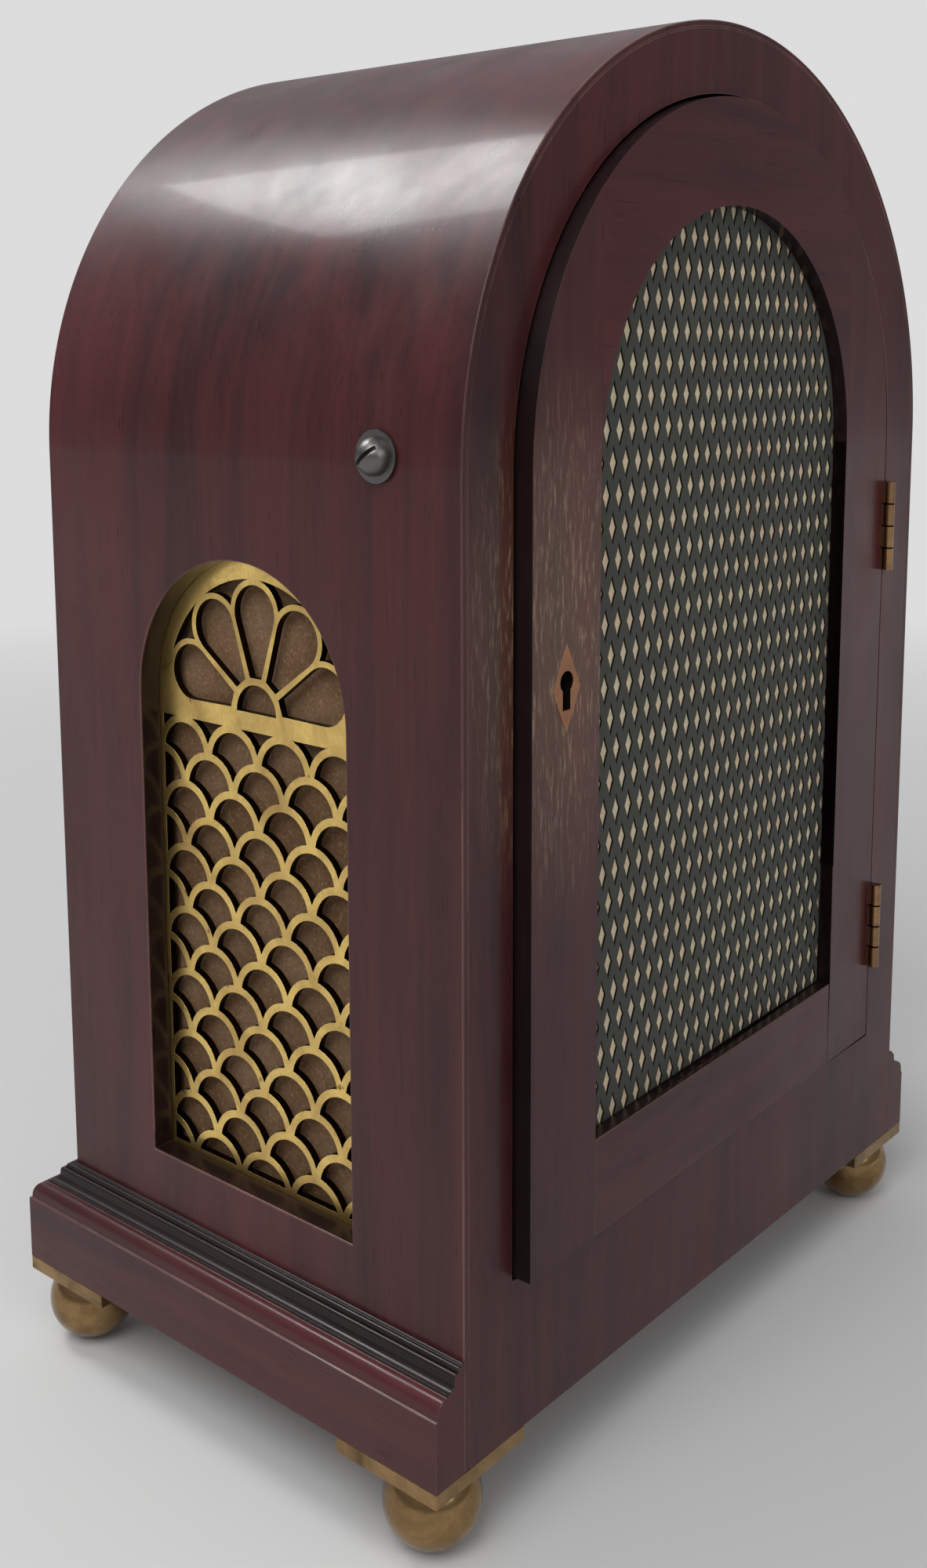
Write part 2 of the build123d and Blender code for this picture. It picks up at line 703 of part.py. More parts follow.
with BuildPart() as lock_case:
    y0, y1 = lock_inner_y, lock_inner_y + lock_thickness
    block(lock_left_x, lock_left_x + lock_width, y0, y1, lock_bottom_z, lock_bottom_z + lock_height)
    block(lock_left_x + lock_wall, reach, y0 + lock_wall, y1 - lock_wall,
          bolt_z - bolt_height / 2 - bolt_clearance, bolt_z + bolt_height / 2 + bolt_clearance, Mode.SUBTRACT)
    block(stile_middle_x - 6, stile_middle_x + 6, y0 + lock_wall, y1 - lock_wall, keyhole_z - 8, bolt_z,
          Mode.SUBTRACT)
    rod(stile_middle_x, keyhole_z + 2.5, y0 + lock_wall, back_y + 1, key_round_radius, Mode.SUBTRACT)
    block(stile_middle_x - key_slot_width / 2, stile_middle_x + key_slot_width / 2,
          y0 + lock_wall, back_y + 1, keyhole_z + 2.5 - key_slot_length, keyhole_z + 2.5, Mode.SUBTRACT)
save(lock_case, "lock_case", door_ajar)
with BuildPart() as lock_bolt:
    bolt_y0 = lock_inner_y + (lock_thickness - bolt_thickness) / 2
    bolt_end = door_radius - 0.7
    block(bolt_end - bolt_length, bolt_end, bolt_y0, bolt_y0 + bolt_thickness, bolt_z - bolt_height / 2,
          bolt_z + bolt_height / 2)
    block(stile_middle_x - 1, stile_middle_x + 4, bolt_y0 - 1, bolt_y0 + 5, bolt_z - bolt_height,
          bolt_z - bolt_height / 2 + 2, Mode.SUBTRACT)
save(lock_bolt, "lock_bolt", door_ajar)

# Dial with its feet
across_dial = Plane((0, 0, arch_centre_z), x_dir=(1, 0, 0), z_dir=(0, 0, 1))
dial_axis = Axis((0, 0, arch_centre_z), (0, 1, 0))
dial_y = front_y + dial_set_back
with BuildPart() as dial_plate:
    with BuildSketch(across_dial):
        with BuildLine():
            half_bow = bulge(dial_radius, dial_rise)
            ThreePointArc((0, dial_y - dial_rise), (dial_radius / 2, dial_y - half_bow),
                          (dial_radius, dial_y))
            Line((dial_radius, dial_y), (dial_radius, dial_y + dial_thickness))
            ThreePointArc((dial_radius, dial_y + dial_thickness),
                          (dial_radius / 2, dial_y + dial_thickness - half_bow),
                          (0, dial_y + dial_thickness - dial_rise))
            Line((0, dial_y + dial_thickness - dial_rise), (0, dial_y - dial_rise))
        make_face()
    revolve(axis=dial_axis)
    for dx, dz in dial_feet:
        rod(dx, arch_centre_z + dz, dial_y - 0.4, front_plate_y, dial_foot_radius)
    rod(0, arch_centre_z, dial_y - 20, dial_y + 20, hour_pipe_radius + 1, Mode.SUBTRACT)
    x, z = place_at(fusee_place)
    rod(x, z, dial_y - 20, dial_y + 20, winding_hole_radius, Mode.SUBTRACT)
save(dial_plate, "dial_plate")

# Bezel, its convex glass and its hinge
bezel_back = front_y - bezel_gap
bezel_front = bezel_back - bezel_height
glass_y = bezel_front + glass_lip
glass_radius = bezel_inner_radius + glass_seat
bezel_pin_x = -(bezel_outer_radius + bezel_knuckle_radius + 0.2)
bezel_pin_y = front_y - bezel_knuckle_radius - bezel_gap
z_low, z_high = arch_centre_z - bezel_hinge_half, arch_centre_z + bezel_hinge_half
with BuildPart() as bezel_ring:
    with BuildSketch(across_dial):
        r0, r1, rg = bezel_inner_radius, bezel_outer_radius, glass_radius + glass_clearance
        with BuildLine():
            Polyline((rg, glass_y), (rg, bezel_back), (r1, bezel_back), (r1, bezel_back - 2.2))
            ThreePointArc((r1, bezel_back - 2.2), (r1 - 1.6, bezel_front + 1.6), (r1 - 6, bezel_front))
            Polyline((r1 - 6, bezel_front), (r0 + 1.5, bezel_front), (r0, bezel_front + 1.5), (r0, glass_y),
                     (rg, glass_y))
        make_face()
    revolve(axis=dial_axis)
    block(bezel_pin_x, -bezel_outer_radius + 3, bezel_pin_y - 1.2, bezel_pin_y + 1.2,
          arch_centre_z - bezel_knuckle_half, arch_centre_z + bezel_knuckle_half)
    upright(bezel_pin_x, bezel_pin_y, arch_centre_z - bezel_knuckle_half, arch_centre_z + bezel_knuckle_half,
            bezel_knuckle_radius)
    upright(bezel_pin_x, bezel_pin_y, z_low, z_high, hinge_pin_radius + pin_clearance, Mode.SUBTRACT)
save(bezel_ring, "bezel_ring")
with BuildPart() as bezel_glass:
    with BuildSketch(across_dial):
        r = bezel_inner_radius - 0.4
        t = glass_thickness
        with BuildLine():
            ThreePointArc((0, glass_y - glass_rise), (r / 2, glass_y - bulge(r, glass_rise)), (r, glass_y))
            Polyline((r, glass_y), (glass_radius, glass_y), (glass_radius, glass_y + t), (r - 1, glass_y + t))
            ThreePointArc((r - 1, glass_y + t), ((r - 1) / 2, glass_y + t - bulge(r - 1, glass_rise)),
                          (0, glass_y + t - glass_rise))
            Line((0, glass_y + t - glass_rise), (0, glass_y - glass_rise))
        make_face()
    revolve(axis=dial_axis)
save(bezel_glass, "bezel_glass")
with BuildPart() as bezel_bracket:
    x0 = bezel_pin_x - bezel_plate_width
    block(x0, bezel_pin_x, front_y - bezel_plate_thickness, front_y, z_low, z_high)
    upright(bezel_pin_x, bezel_pin_y, z_low - 1, z_high + 1, bezel_knuckle_radius + leaf_gap, Mode.SUBTRACT)
    for z0, z1 in ((z_low, arch_centre_z - bezel_knuckle_half - knuckle_gap),
                   (arch_centre_z + bezel_knuckle_half + knuckle_gap, z_high)):
        upright(bezel_pin_x, bezel_pin_y, z0, z1, bezel_knuckle_radius)
        block(x0, bezel_pin_x, front_y - bezel_plate_thickness, front_y, z0, z1)
    upright(bezel_pin_x, bezel_pin_y, z_low, z_high, hinge_pin_radius)
save(bezel_bracket, "bezel_bracket")

# Hands, pointing at ten past ten
hour_hand_y = dial_y - dial_rise - hour_hand_gap
minute_hand_y = hour_hand_y - hand_thickness - minute_hand_gap


def hand(length, width, ring, hole):
    """Returns a tapering hand with a pierced disc near its tip and a round boss."""
    with BuildSketch() as outline:
        at = length * 0.7
        with BuildLine():
            Polyline((-width / 2, 0), (width / 2, 0), (width * 0.3, at), (0, length), (-width * 0.3, at),
                     close=True)
        make_face()
        with Locations((0, at)):
            Circle(ring)
            Circle(ring * 0.55, mode=Mode.SUBTRACT)
        Circle(hole + 2.6)
        Circle(hole, mode=Mode.SUBTRACT)
    return outline.sketch


# Movement plates; the four pillars are riveted into the back plate and screwed at the front
pillar_x = plate_half_width - pillar_inset
pillar_z = (shelf_top_z + pillar_inset, plate_top_z - pillar_inset)
pivots = {name: place_at(place) for name, place in (
    ("fusee", fusee_place), ("third", third_place), ("escape", escape_place))}
pivot_hole = pivot_radius + running_gap
fusee_arbor_radius = 3.0
barrel_arbor_radius = 3.0
with BuildPart() as movement_front_plate:
    block(-plate_half_width, plate_half_width, front_plate_y, inside_front, shelf_top_z, plate_top_z)
    for x in (-pillar_x, pillar_x):
        for z in pillar_z:
            rod(x, z, front_plate_y - 1, inside_front + 1, pillar_screw_radius, Mode.SUBTRACT)
    for name in ("third", "escape"):
        rod(*pivots[name], front_plate_y - 1, inside_front + 1, pivot_hole, Mode.SUBTRACT)
    rod(*place_at(pallet_place), front_plate_y - 1, inside_front + 1, pivot_hole, Mode.SUBTRACT)
    rod(*place_at((0, 0)), front_plate_y - 1, inside_front + 1, arbor_radius + running_gap, Mode.SUBTRACT)
    rod(*pivots["fusee"], front_plate_y - 1, inside_front + 1, fusee_arbor_radius + running_gap,
        Mode.SUBTRACT)
    rod(*place_at(barrel_place), front_plate_y - 1, inside_front + 1, barrel_arbor_radius, Mode.SUBTRACT)
    rod(*place_at(minute_place), front_plate_y - 8, front_plate_y + 1, pivot_radius)
save(movement_front_plate, "movement_front_plate")

with BuildPart() as movement_back_plate:
    block(-plate_half_width, plate_half_width, back_plate_y, behind_plates, shelf_top_z, plate_top_z)
    for x in (-pillar_x, pillar_x):
        for z in pillar_z:
            rod(x, z, inside_front, back_plate_y + 1, pillar_radius)
            rod(x, z, front_plate_y, inside_front + 1, pillar_screw_radius)
    for name in ("third", "escape", "fusee"):
        rod(*pivots[name], back_plate_y - 1, behind_plates + 1, pivot_hole, Mode.SUBTRACT)
    rod(*place_at((0, 0)), back_plate_y - 1, behind_plates + 1, pivot_hole, Mode.SUBTRACT)
    rod(*place_at(barrel_place), back_plate_y - 1, behind_plates + 1, barrel_arbor_radius, Mode.SUBTRACT)
    rod(*place_at(pallet_place), back_plate_y - 1, behind_plates + 1, 4.0, Mode.SUBTRACT)
save(movement_back_plate, "movement_back_plate")


def arbor(place, wide):
    """Adds a through arbor between the plates with a thin pivot at each end."""
    x, z = place_at(place)
    rod(x, z, inside_front + end_shake, back_plate_y - end_shake, wide)
    rod(x, z, front_plate_y + 0.2, behind_plates - 0.2, pivot_radius)


def toothed(place, y, thickness, outline):
    """Adds a toothed outline at a place in the train, from y back towards the rear."""
    x, z = place_at(place)
    with BuildSketch(facing_back(y + thickness)) as drawn:
        with Locations((x, z)):
            add(outline)
    extrude(drawn.sketch, amount=thickness)


def module_of(place_a, place_b, teeth_a, teeth_b):
    """Returns the tooth size that makes two wheels mesh at the distance between their places."""
    return 2 * hypot(place_a[0] - place_b[0], place_a[1] - place_b[1]) / (teeth_a + teeth_b)


def gear_at(place, partner, size, teeth, faces_partner, hole=0.0, spokes=0):
    """Returns a wheel outline whose tooth, or gap, points at its partner's place."""
    turn = atan2(partner[1] - place[1], partner[0] - place[0]) + (0 if faces_partner else pi / teeth)
    radius = size * teeth / 2
    return wheel(teeth, radius - 0.95 * size, radius + 0.65 * size, turn, hole, spokes)


centre = (0.0, 0.0)
great_module = module_of(fusee_place, centre, great_teeth, centre_pinion_leaves)
centre_module = module_of(centre, third_place, centre_teeth, third_pinion_leaves)
third_module = module_of(third_place, escape_place, third_teeth, escape_pinion_leaves)
minute_module = module_of(centre, minute_place, cannon_teeth, minute_teeth)
hour_module = module_of(centre, minute_place, hour_teeth, minute_pinion_leaves)

# Fusee with its great wheel; its arbor ends in the winding square at the dial
fx, fz = place_at(fusee_place)
great_y = inside_front + great_wheel_from_plate
with BuildPart() as fusee:
    rod(fx, fz, dial_y + 1, back_plate_y - end_shake, fusee_arbor_radius)
    rod(fx, fz, back_plate_y - 1, behind_plates - 0.2, pivot_radius)
    toothed(fusee_place, great_y, wheel_thickness,
            gear_at(fusee_place, centre, great_module, great_teeth, True))
    with BuildSketch(Plane((fx, 0, fz), x_dir=(1, 0, 0), z_dir=(0, 0, 1))):
        y0 = great_y + wheel_thickness
        with BuildLine():
            Polyline((0, y0), (fusee_wide_radius, y0), (fusee_wide_radius, y0 + 2),
                     (fusee_wide_radius * 0.76, y0 + fusee_length * 0.4),
                     (fusee_wide_radius * 0.6, y0 + fusee_length * 0.7),
                     (fusee_narrow_radius, y0 + fusee_length), (0, y0 + fusee_length), close=True)
        make_face()
    revolve(axis=Axis((fx, 0, fz), (0, 1, 0)))
    half = square_size / 2
    for x0, x1, z0, z1 in ((half, 9, -9, 9), (-9, -half, -9, 9), (-9, 9, half, 9), (-9, 9, -9, -half)):
        block(fx + x0, fx + x1, dial_y - 1, dial_y + 9, fz + z0, fz + z1, Mode.SUBTRACT)
save(fusee, "fusee")

# Mainspring barrel on its fixed arbor
bx, bz = place_at(barrel_place)
barrel_y = inside_front + barrel_from_plate
with BuildPart() as barrel_arbor:
    rod(bx, bz, front_plate_y - 3, behind_plates, barrel_arbor_radius)
save(barrel_arbor, "barrel_arbor")
with BuildPart() as barrel:
    rod(bx, bz, barrel_y, barrel_y + barrel_length, barrel_radius)
    rod(bx, bz, barrel_y + barrel_wall, barrel_y + barrel_length - barrel_wall, barrel_radius - barrel_wall,
        Mode.SUBTRACT)
    rod(bx, bz, barrel_y - 1, barrel_y + barrel_length + 1, barrel_arbor_radius + running_gap, Mode.SUBTRACT)
save(barrel, "barrel")

# Centre arbor with its pinion, wheel and cannon, carrying the minute hand
with BuildPart() as centre_arbor:
    arbor(centre, arbor_radius)
    toothed(centre, great_y - 1.5, pinion_length,
            gear_at(centre, fusee_place, great_module, centre_pinion_leaves, False))
    toothed(centre, inside_front + centre_wheel_from_plate, wheel_thickness,
            gear_at(centre, third_place, centre_module, centre_teeth, True, spokes=4))
    rod(0, arch_centre_z, front_plate_y - 1, inside_front + 1, arbor_radius)
    cannon_y = front_plate_y - motion_first_gap
    rod(0, arch_centre_z, minute_hand_y - 1.6, cannon_y, cannon_pipe_radius)
    toothed(centre, cannon_y - wheel_thickness, wheel_thickness,
            gear_at(centre, minute_place, minute_module, cannon_teeth, True))
save(centre_arbor, "centre_arbor")
with BuildPart() as minute_hand:
    with BuildSketch(facing_back(minute_hand_y)):
        with Locations(Location((0, arch_centre_z, 0), (0, 0, -60))):
            add(hand(minute_hand_length, 4.4, 4.2, cannon_pipe_radius))
    extrude(amount=hand_thickness)
save(minute_hand, "minute_hand")

# Motion work: minute wheel on its stud, hour wheel on a pipe round the cannon
hour_wheel_y = front_plate_y - motion_second_gap - wheel_thickness
with BuildPart() as minute_wheel:
    toothed(minute_place, cannon_y - wheel_thickness, wheel_thickness,
            gear_at(minute_place, centre, minute_module, minute_teeth, False))
    toothed(minute_place, hour_wheel_y - 1.2, cannon_y - hour_wheel_y,
            gear_at(minute_place, centre, hour_module, minute_pinion_leaves, False))
    rod(*place_at(minute_place), hour_wheel_y - 5, cannon_y + 1, pivot_hole, Mode.SUBTRACT)
save(minute_wheel, "minute_wheel")
with BuildPart() as hour_wheel:
    toothed(centre, hour_wheel_y, wheel_thickness,
            gear_at(centre, minute_place, hour_module, hour_teeth, True))
    rod(0, arch_centre_z, hour_hand_y - hand_thickness - 0.4, hour_wheel_y + 1, hour_pipe_radius)
    rod(0, arch_centre_z, minute_hand_y - 9, hour_wheel_y + 9, cannon_pipe_radius + running_gap,
        Mode.SUBTRACT)
save(hour_wheel, "hour_wheel")
with BuildPart() as hour_hand:
    with BuildSketch(facing_back(hour_hand_y)):
        with Locations(Location((0, arch_centre_z, 0), (0, 0, 55))):
            add(hand(hour_hand_length, 5.0, 5.2, hour_pipe_radius))
    extrude(amount=hand_thickness)
save(hour_hand, "hour_hand")

# Third wheel and escape wheel
third_y = inside_front + third_wheel_from_plate
with BuildPart() as third_wheel:
    arbor(third_place, arbor_radius)
    toothed(third_place, inside_front + centre_wheel_from_plate - 2.7, pinion_length,
            gear_at(third_place, centre, centre_module, third_pinion_leaves, False))
    toothed(third_place, third_y, wheel_thickness,
            gear_at(third_place, escape_place, third_module, third_teeth, True, spokes=4))
save(third_wheel, "third_wheel")
with BuildPart() as escape_wheel:
    arbor(escape_place, arbor_radius)
    toothed(escape_place, third_y - 2.7, pinion_length,
            gear_at(escape_place, third_place, third_module, escape_pinion_leaves, False))
    with BuildSketch() as escape_outline:
        points = []
        for i in range(escape_teeth):
            a = 2 * pi * i / escape_teeth
            b = a + 2 * pi * 0.62 / escape_teeth
            root = escape_radius - escape_tooth_height
            points += [(escape_radius * cos(a), escape_radius * sin(a)), (root * cos(b), root * sin(b))]
        with BuildLine():
            Polyline(*points, close=True)
        make_face()
        RegularPolygon(root - 2.5, 12, mode=Mode.SUBTRACT)
        with PolarLocations(0, 4):
            Rectangle(root - 1.2, 2.0, align=(Align.MIN, Align.CENTER))
        RegularPolygon(4, 8)
    toothed(escape_place, inside_front + escape_wheel_from_plate, wheel_thickness, escape_outline.sketch)
save(escape_wheel, "escape_wheel")

# Back cock behind the plate: it holds the pallet arbor and hangs the pendulum
px, pz = place_at(pallet_place)
cock_y = behind_plates + cock_depth
with BuildPart() as back_cock:
    z0, z1 = pz - cock_height / 2, pz + cock_height / 2
    for side in (-1, 1):
        block(*sorted((side * cock_half_width, side * (cock_half_width - cock_wall))),
              behind_plates, cock_y, z0, z1)
        block(*sorted((side * (cock_half_width - cock_wall), side * (cock_half_width + 7))), behind_plates,
              behind_plates + cock_wall, z0, z1)
    block(-cock_half_width, cock_half_width, cock_y, cock_y + cock_wall, z0, z1)
    rod(px, pz, cock_y - 1, cock_y + cock_wall + 1, pivot_hole, Mode.SUBTRACT)
    block(-5, 5, cock_y, pendulum_y + suspension_width / 2 + 1, pz + 4, z1)
    block(-suspension_thickness / 2, suspension_thickness / 2, pendulum_y - suspension_width / 2,
          pendulum_y + suspension_width / 2 + 2, pz, z1 + 1, Mode.SUBTRACT)
save(back_cock, "back_cock")

# Anchor on its arbor, with the crutch that drives the pendulum
anchor_y = inside_front + escape_wheel_from_plate - 0.7
with BuildPart() as anchor:
    rod(px, pz, inside_front + end_shake, cock_y - end_shake, arbor_radius)
    rod(px, pz, front_plate_y + 0.2, cock_y + cock_wall - 0.2, pivot_radius)
    reach_out = escape_radius + pallet_clearance
    drop = pallet_place[1] - escape_place[1]
    with BuildSketch(facing_back(anchor_y + 3)):
        for side in (-1, 1):
            a, b = radians(45), radians(38)
            with BuildLine():
                Polyline((0, pz + 3), (side * 15.5, pz - 3.2),
                         (side * (reach_out + 3.2) * sin(a), pz - drop + (reach_out + 3.2) * cos(a)),
                         (side * reach_out * sin(a), pz - drop + reach_out * cos(a)),
                         (side * reach_out * sin(b), pz - drop + (reach_out + 0.4) * cos(b)),
                         (side * 9.0, pz - 4.8), (0, pz - 2.6), close=True)
            make_face()
    extrude(amount=3)
    crutch_y = behind_plates + 5
    fork_z = pz - crutch_length
    block(-1.2, 1.2, crutch_y, crutch_y + 2.4, fork_z, pz + 2.5)
    block(-3.4, 3.4, crutch_y, crutch_y + 2.4, fork_z - 3, fork_z + 3)
    for side in (-1, 1):
        block(*sorted((side * (rod_radius + 0.3), side * 3.4)),
              crutch_y, pendulum_y + 3, fork_z - 2, fork_z + 2)
save(anchor, "anchor")

# Suspension spring, pendulum rod with its rating nut, and bob
with BuildPart() as suspension_spring:
    block(-suspension_thickness / 2, suspension_thickness / 2, pendulum_y - suspension_width / 2,
          pendulum_y + suspension_width / 2, pz - 7, pz + cock_height / 2)
save(suspension_spring, "suspension_spring")
bob_z = pz - pendulum_length
with BuildPart() as pendulum_rod:
    block(-2.4, 2.4, pendulum_y - 3, pendulum_y + 3, pz - 12, pz - 4)
    slot_half = suspension_thickness / 2 + suspension_room
    block(-slot_half, slot_half, pendulum_y - suspension_width / 2 - suspension_end_room,
          pendulum_y + suspension_width / 2 + suspension_end_room, pz - 7 - suspension_end_room, pz - 3,
          Mode.SUBTRACT)
    upright(0, pendulum_y, bob_z - bob_radius - 9, pz - 12, rod_radius)
    upright(0, pendulum_y, bob_z - bob_radius - 5, bob_z - bob_radius, 4.5)
save(pendulum_rod, "pendulum_rod")
with BuildPart() as pendulum_bob:
    with BuildSketch(Plane((0, pendulum_y, bob_z), x_dir=(1, 0, 0), z_dir=(0, 0, 1))):
        with BuildLine():
            t = bob_thickness / 2
            Line((0, -t), (0, t))
            ThreePointArc((0, t), (bob_radius * 0.6, t * 0.72), (bob_radius, 0.6))
            Line((bob_radius, 0.6), (bob_radius, -0.6))
            ThreePointArc((bob_radius, -0.6), (bob_radius * 0.6, -t * 0.72), (0, -t))
        make_face()
    revolve(axis=Axis((0, pendulum_y, bob_z), (0, 1, 0)))
    upright(0, pendulum_y, bob_z - 50, bob_z + 50, rod_radius, Mode.SUBTRACT)
save(pendulum_bob, "pendulum_bob")
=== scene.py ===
"""Arch-topped mahogany bracket clock, seen from behind: pieces, finishes, light and camera."""

from __future__ import annotations

import json
import logging
import math
from collections.abc import Callable, Sequence
from dataclasses import dataclass, field
from enum import Enum

import bmesh
import bpy
from mathutils import Matrix, Vector

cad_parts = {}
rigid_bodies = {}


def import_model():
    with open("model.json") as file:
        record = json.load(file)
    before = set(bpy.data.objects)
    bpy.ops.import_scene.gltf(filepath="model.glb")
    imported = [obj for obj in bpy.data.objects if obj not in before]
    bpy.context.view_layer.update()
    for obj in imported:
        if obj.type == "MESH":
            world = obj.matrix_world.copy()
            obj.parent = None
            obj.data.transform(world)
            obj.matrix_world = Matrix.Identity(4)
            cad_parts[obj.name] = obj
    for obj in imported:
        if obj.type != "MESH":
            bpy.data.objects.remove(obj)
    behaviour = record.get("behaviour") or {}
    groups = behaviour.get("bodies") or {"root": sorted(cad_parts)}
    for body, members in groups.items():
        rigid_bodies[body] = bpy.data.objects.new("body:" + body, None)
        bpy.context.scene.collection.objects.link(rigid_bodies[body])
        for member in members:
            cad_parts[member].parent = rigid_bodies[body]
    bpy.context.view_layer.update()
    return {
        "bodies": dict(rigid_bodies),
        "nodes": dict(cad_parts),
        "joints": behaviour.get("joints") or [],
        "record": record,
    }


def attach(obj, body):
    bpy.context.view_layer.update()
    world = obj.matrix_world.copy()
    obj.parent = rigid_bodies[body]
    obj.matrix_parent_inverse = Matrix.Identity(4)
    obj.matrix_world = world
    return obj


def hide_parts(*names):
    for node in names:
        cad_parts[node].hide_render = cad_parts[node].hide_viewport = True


log = logging.getLogger("clock")

MM = 0.001
OVER = 9.0
HINGE_HEIGHTS = (119.4, 269.4)
HINGE_HALF = 15.9
FINE = 128
Point = tuple[float, float]
Colour = tuple[float, float, float]
Corners = tuple[tuple[float, float, float], tuple[float, float, float]]
Solid = bpy.types.Object
Material = bpy.types.Material
Socket = bpy.types.NodeSocket


class Side(Enum):
    """The two side walls, seen from the dial."""

    LEFT = -1
    RIGHT = 1

    @property
    def word(self) -> str:
        """The side's name as the nodes spell it."""
        return self.name.lower()


class Grain(Enum):
    """Which way the wood's figure runs, as the stretch of its pattern along X, Y and Z."""

    UPRIGHT = (1.0, 1.0, 0.06)
    ACROSS = (0.06, 1.0, 1.0)
    BACKWARD = (1.0, 0.06, 1.0)


# Finishes


class NodeBench:
    """Builds one material's nodes with few words."""

    def __init__(self, name: str) -> None:
        """Starts an empty material with a Principled surface.

        Args:
            name: The material's name.
        """
        self.material = bpy.data.materials.new(name)
        self.material.use_nodes = True
        self.nodes = self.material.node_tree.nodes
        self.links = self.material.node_tree.links
        self.surface = self.nodes["Principled BSDF"]
        coordinates = self.nodes.new("ShaderNodeTexCoord").outputs
        self.place, self.normal = coordinates["Object"], coordinates["Normal"]

    def set(self, **values: float | tuple[float, ...]) -> None:
        """Sets constants on the surface, with underscores for spaces in the socket names.

        Args:
            **values: The socket values.
        """
        for name, value in values.items():
            self.surface.inputs[name.replace("_", " ")].default_value = value

    def stretched(self, scale: Sequence[float]) -> Socket:
        """Returns object coordinates stretched along the axes.

        Args:
            scale: The multiplier along X, Y and Z.

        Returns:
            The stretched coordinates.
        """
        mapping = self.nodes.new("ShaderNodeMapping")
        mapping.inputs["Scale"].default_value = scale
        self.links.new(self.place, mapping.inputs["Vector"])
        return mapping.outputs["Vector"]

    def noise(
        self, scale: float, detail: float = 4.0, rough: float = 0.6,
        at: Socket | None = None, warp: float = 0.0,
    ) -> Socket:
        """Adds cloudy noise.

        Args:
            scale: Cells per metre.
            detail: How many finer layers it has.
            rough: How strong the finer layers are.
            at: The coordinates, or the plain object coordinates.
            warp: How far the pattern is bent by itself.

        Returns:
            The noise from 0 to 1.
        """
        node = self.nodes.new("ShaderNodeTexNoise")
        node.inputs["Scale"].default_value = scale
        node.inputs["Detail"].default_value = detail
        node.inputs["Roughness"].default_value = rough
        node.inputs["Distortion"].default_value = warp
        self.links.new(at or self.place, node.inputs["Vector"])
        return node.outputs["Fac"]

    def ramp(
        self, value: Socket, *stops: tuple[float, Colour]
    ) -> Socket:
        """Maps a value onto colours.

        Args:
            value: The value from 0 to 1.
            *stops: Each place and its colour, in rising order.

        Returns:
            The colour.
        """
        node = self.nodes.new("ShaderNodeValToRGB")
        elements = node.color_ramp.elements
        while len(elements) < len(stops):
            elements.new(0.5)
        for element, (place, colour) in zip(elements, stops):
            element.position = place
            element.color = (*colour, 1.0)
        self.links.new(value, node.inputs["Fac"])
        return node.outputs["Color"]

    def fit(self, value: Socket, low: float, high: float, a: float, b: float) -> Socket:
        """Rescales a value from one range into another and stops at its ends.

        Args:
            value: The value.
            low: The start of its range.
            high: The end of its range.
            a: What low becomes.
            b: What high becomes.

        Returns:
            The rescaled value.
        """
        node = self.nodes.new("ShaderNodeMapRange")
        for name, number in (("From Min", low), ("From Max", high), ("To Min", a), ("To Max", b)):
            node.inputs[name].default_value = number
        self.links.new(value, node.inputs["Value"])
        return node.outputs["Result"]

    def blend(
        self, amount: Socket, first: Socket | Colour, second: Socket | Colour
    ) -> Socket:
        """Mixes two colours.

        Args:
            amount: How much of the second shows.
            first: A colour or its socket.
            second: A colour or its socket.

        Returns:
            The mixed colour.
        """
        node = self.nodes.new("ShaderNodeMix")
        node.data_type = "RGBA"
        self.links.new(amount, node.inputs[0])
        for socket, colour in ((node.inputs[6], first), (node.inputs[7], second)):
            if isinstance(colour, tuple):
                socket.default_value = (*colour, 1.0)
            else:
                self.links.new(colour, socket)
        return node.outputs[2]

    def cover(
        self, under: Socket | Colour, colour: Colour, value: Socket, low: float, high: float, most: float
    ) -> Socket:
        """Lays a colour over another where a pattern rises through a range.

        Args:
            under: The colour below.
            colour: The colour on top.
            value: The pattern.
            low: Where the top colour starts.
            high: Where it is fullest.
            most: How much of it shows there.

        Returns:
            The mixed colour.
        """
        return self.blend(self.fit(value, low, high, 0.0, most), under, colour)

    def join(self, kind: str, a: Socket, b: Socket | float) -> Socket:
        """Does one sum.

        Args:
            kind: The Math node's operation.
            a: The first value.
            b: The second value or number.

        Returns:
            The result.
        """
        node = self.nodes.new("ShaderNodeMath")
        node.operation = kind
        self.links.new(a, node.inputs[0])
        if isinstance(b, (int, float)):
            node.inputs[1].default_value = b
        else:
            self.links.new(b, node.inputs[1])
        return node.outputs[0]

    def colour(self, socket: Socket) -> None:
        """Sends a colour to the surface."""
        self.links.new(socket, self.surface.inputs["Base Color"])

    def rough(self, socket: Socket) -> None:
        """Sends a roughness to the surface."""
        self.links.new(socket, self.surface.inputs["Roughness"])

    def walls(self, facing: str, low: float = 0.5, high: float = 0.8) -> Socket:
        """Finds the faces turned away from an axis.

        Args:
            facing: The axis, as X, Y or Z.
            low: How far along the axis a full wall's normal reaches at most.
            high: How far along it a flat face's reaches at least.

        Returns:
            1 on the walls and 0 on the faces that look along the axis.
        """
        return self.fit(self.join("ABSOLUTE", self.parts(self.normal)[facing], 0.0), low, high, 1.0, 0.0)

    def parts(self, vector: Socket) -> bpy.types.bpy_prop_collection:
        """Returns a vector's X, Y and Z, by their names."""
        node = self.nodes.new("ShaderNodeSeparateXYZ")
        self.links.new(vector, node.inputs[0])
        return node.outputs

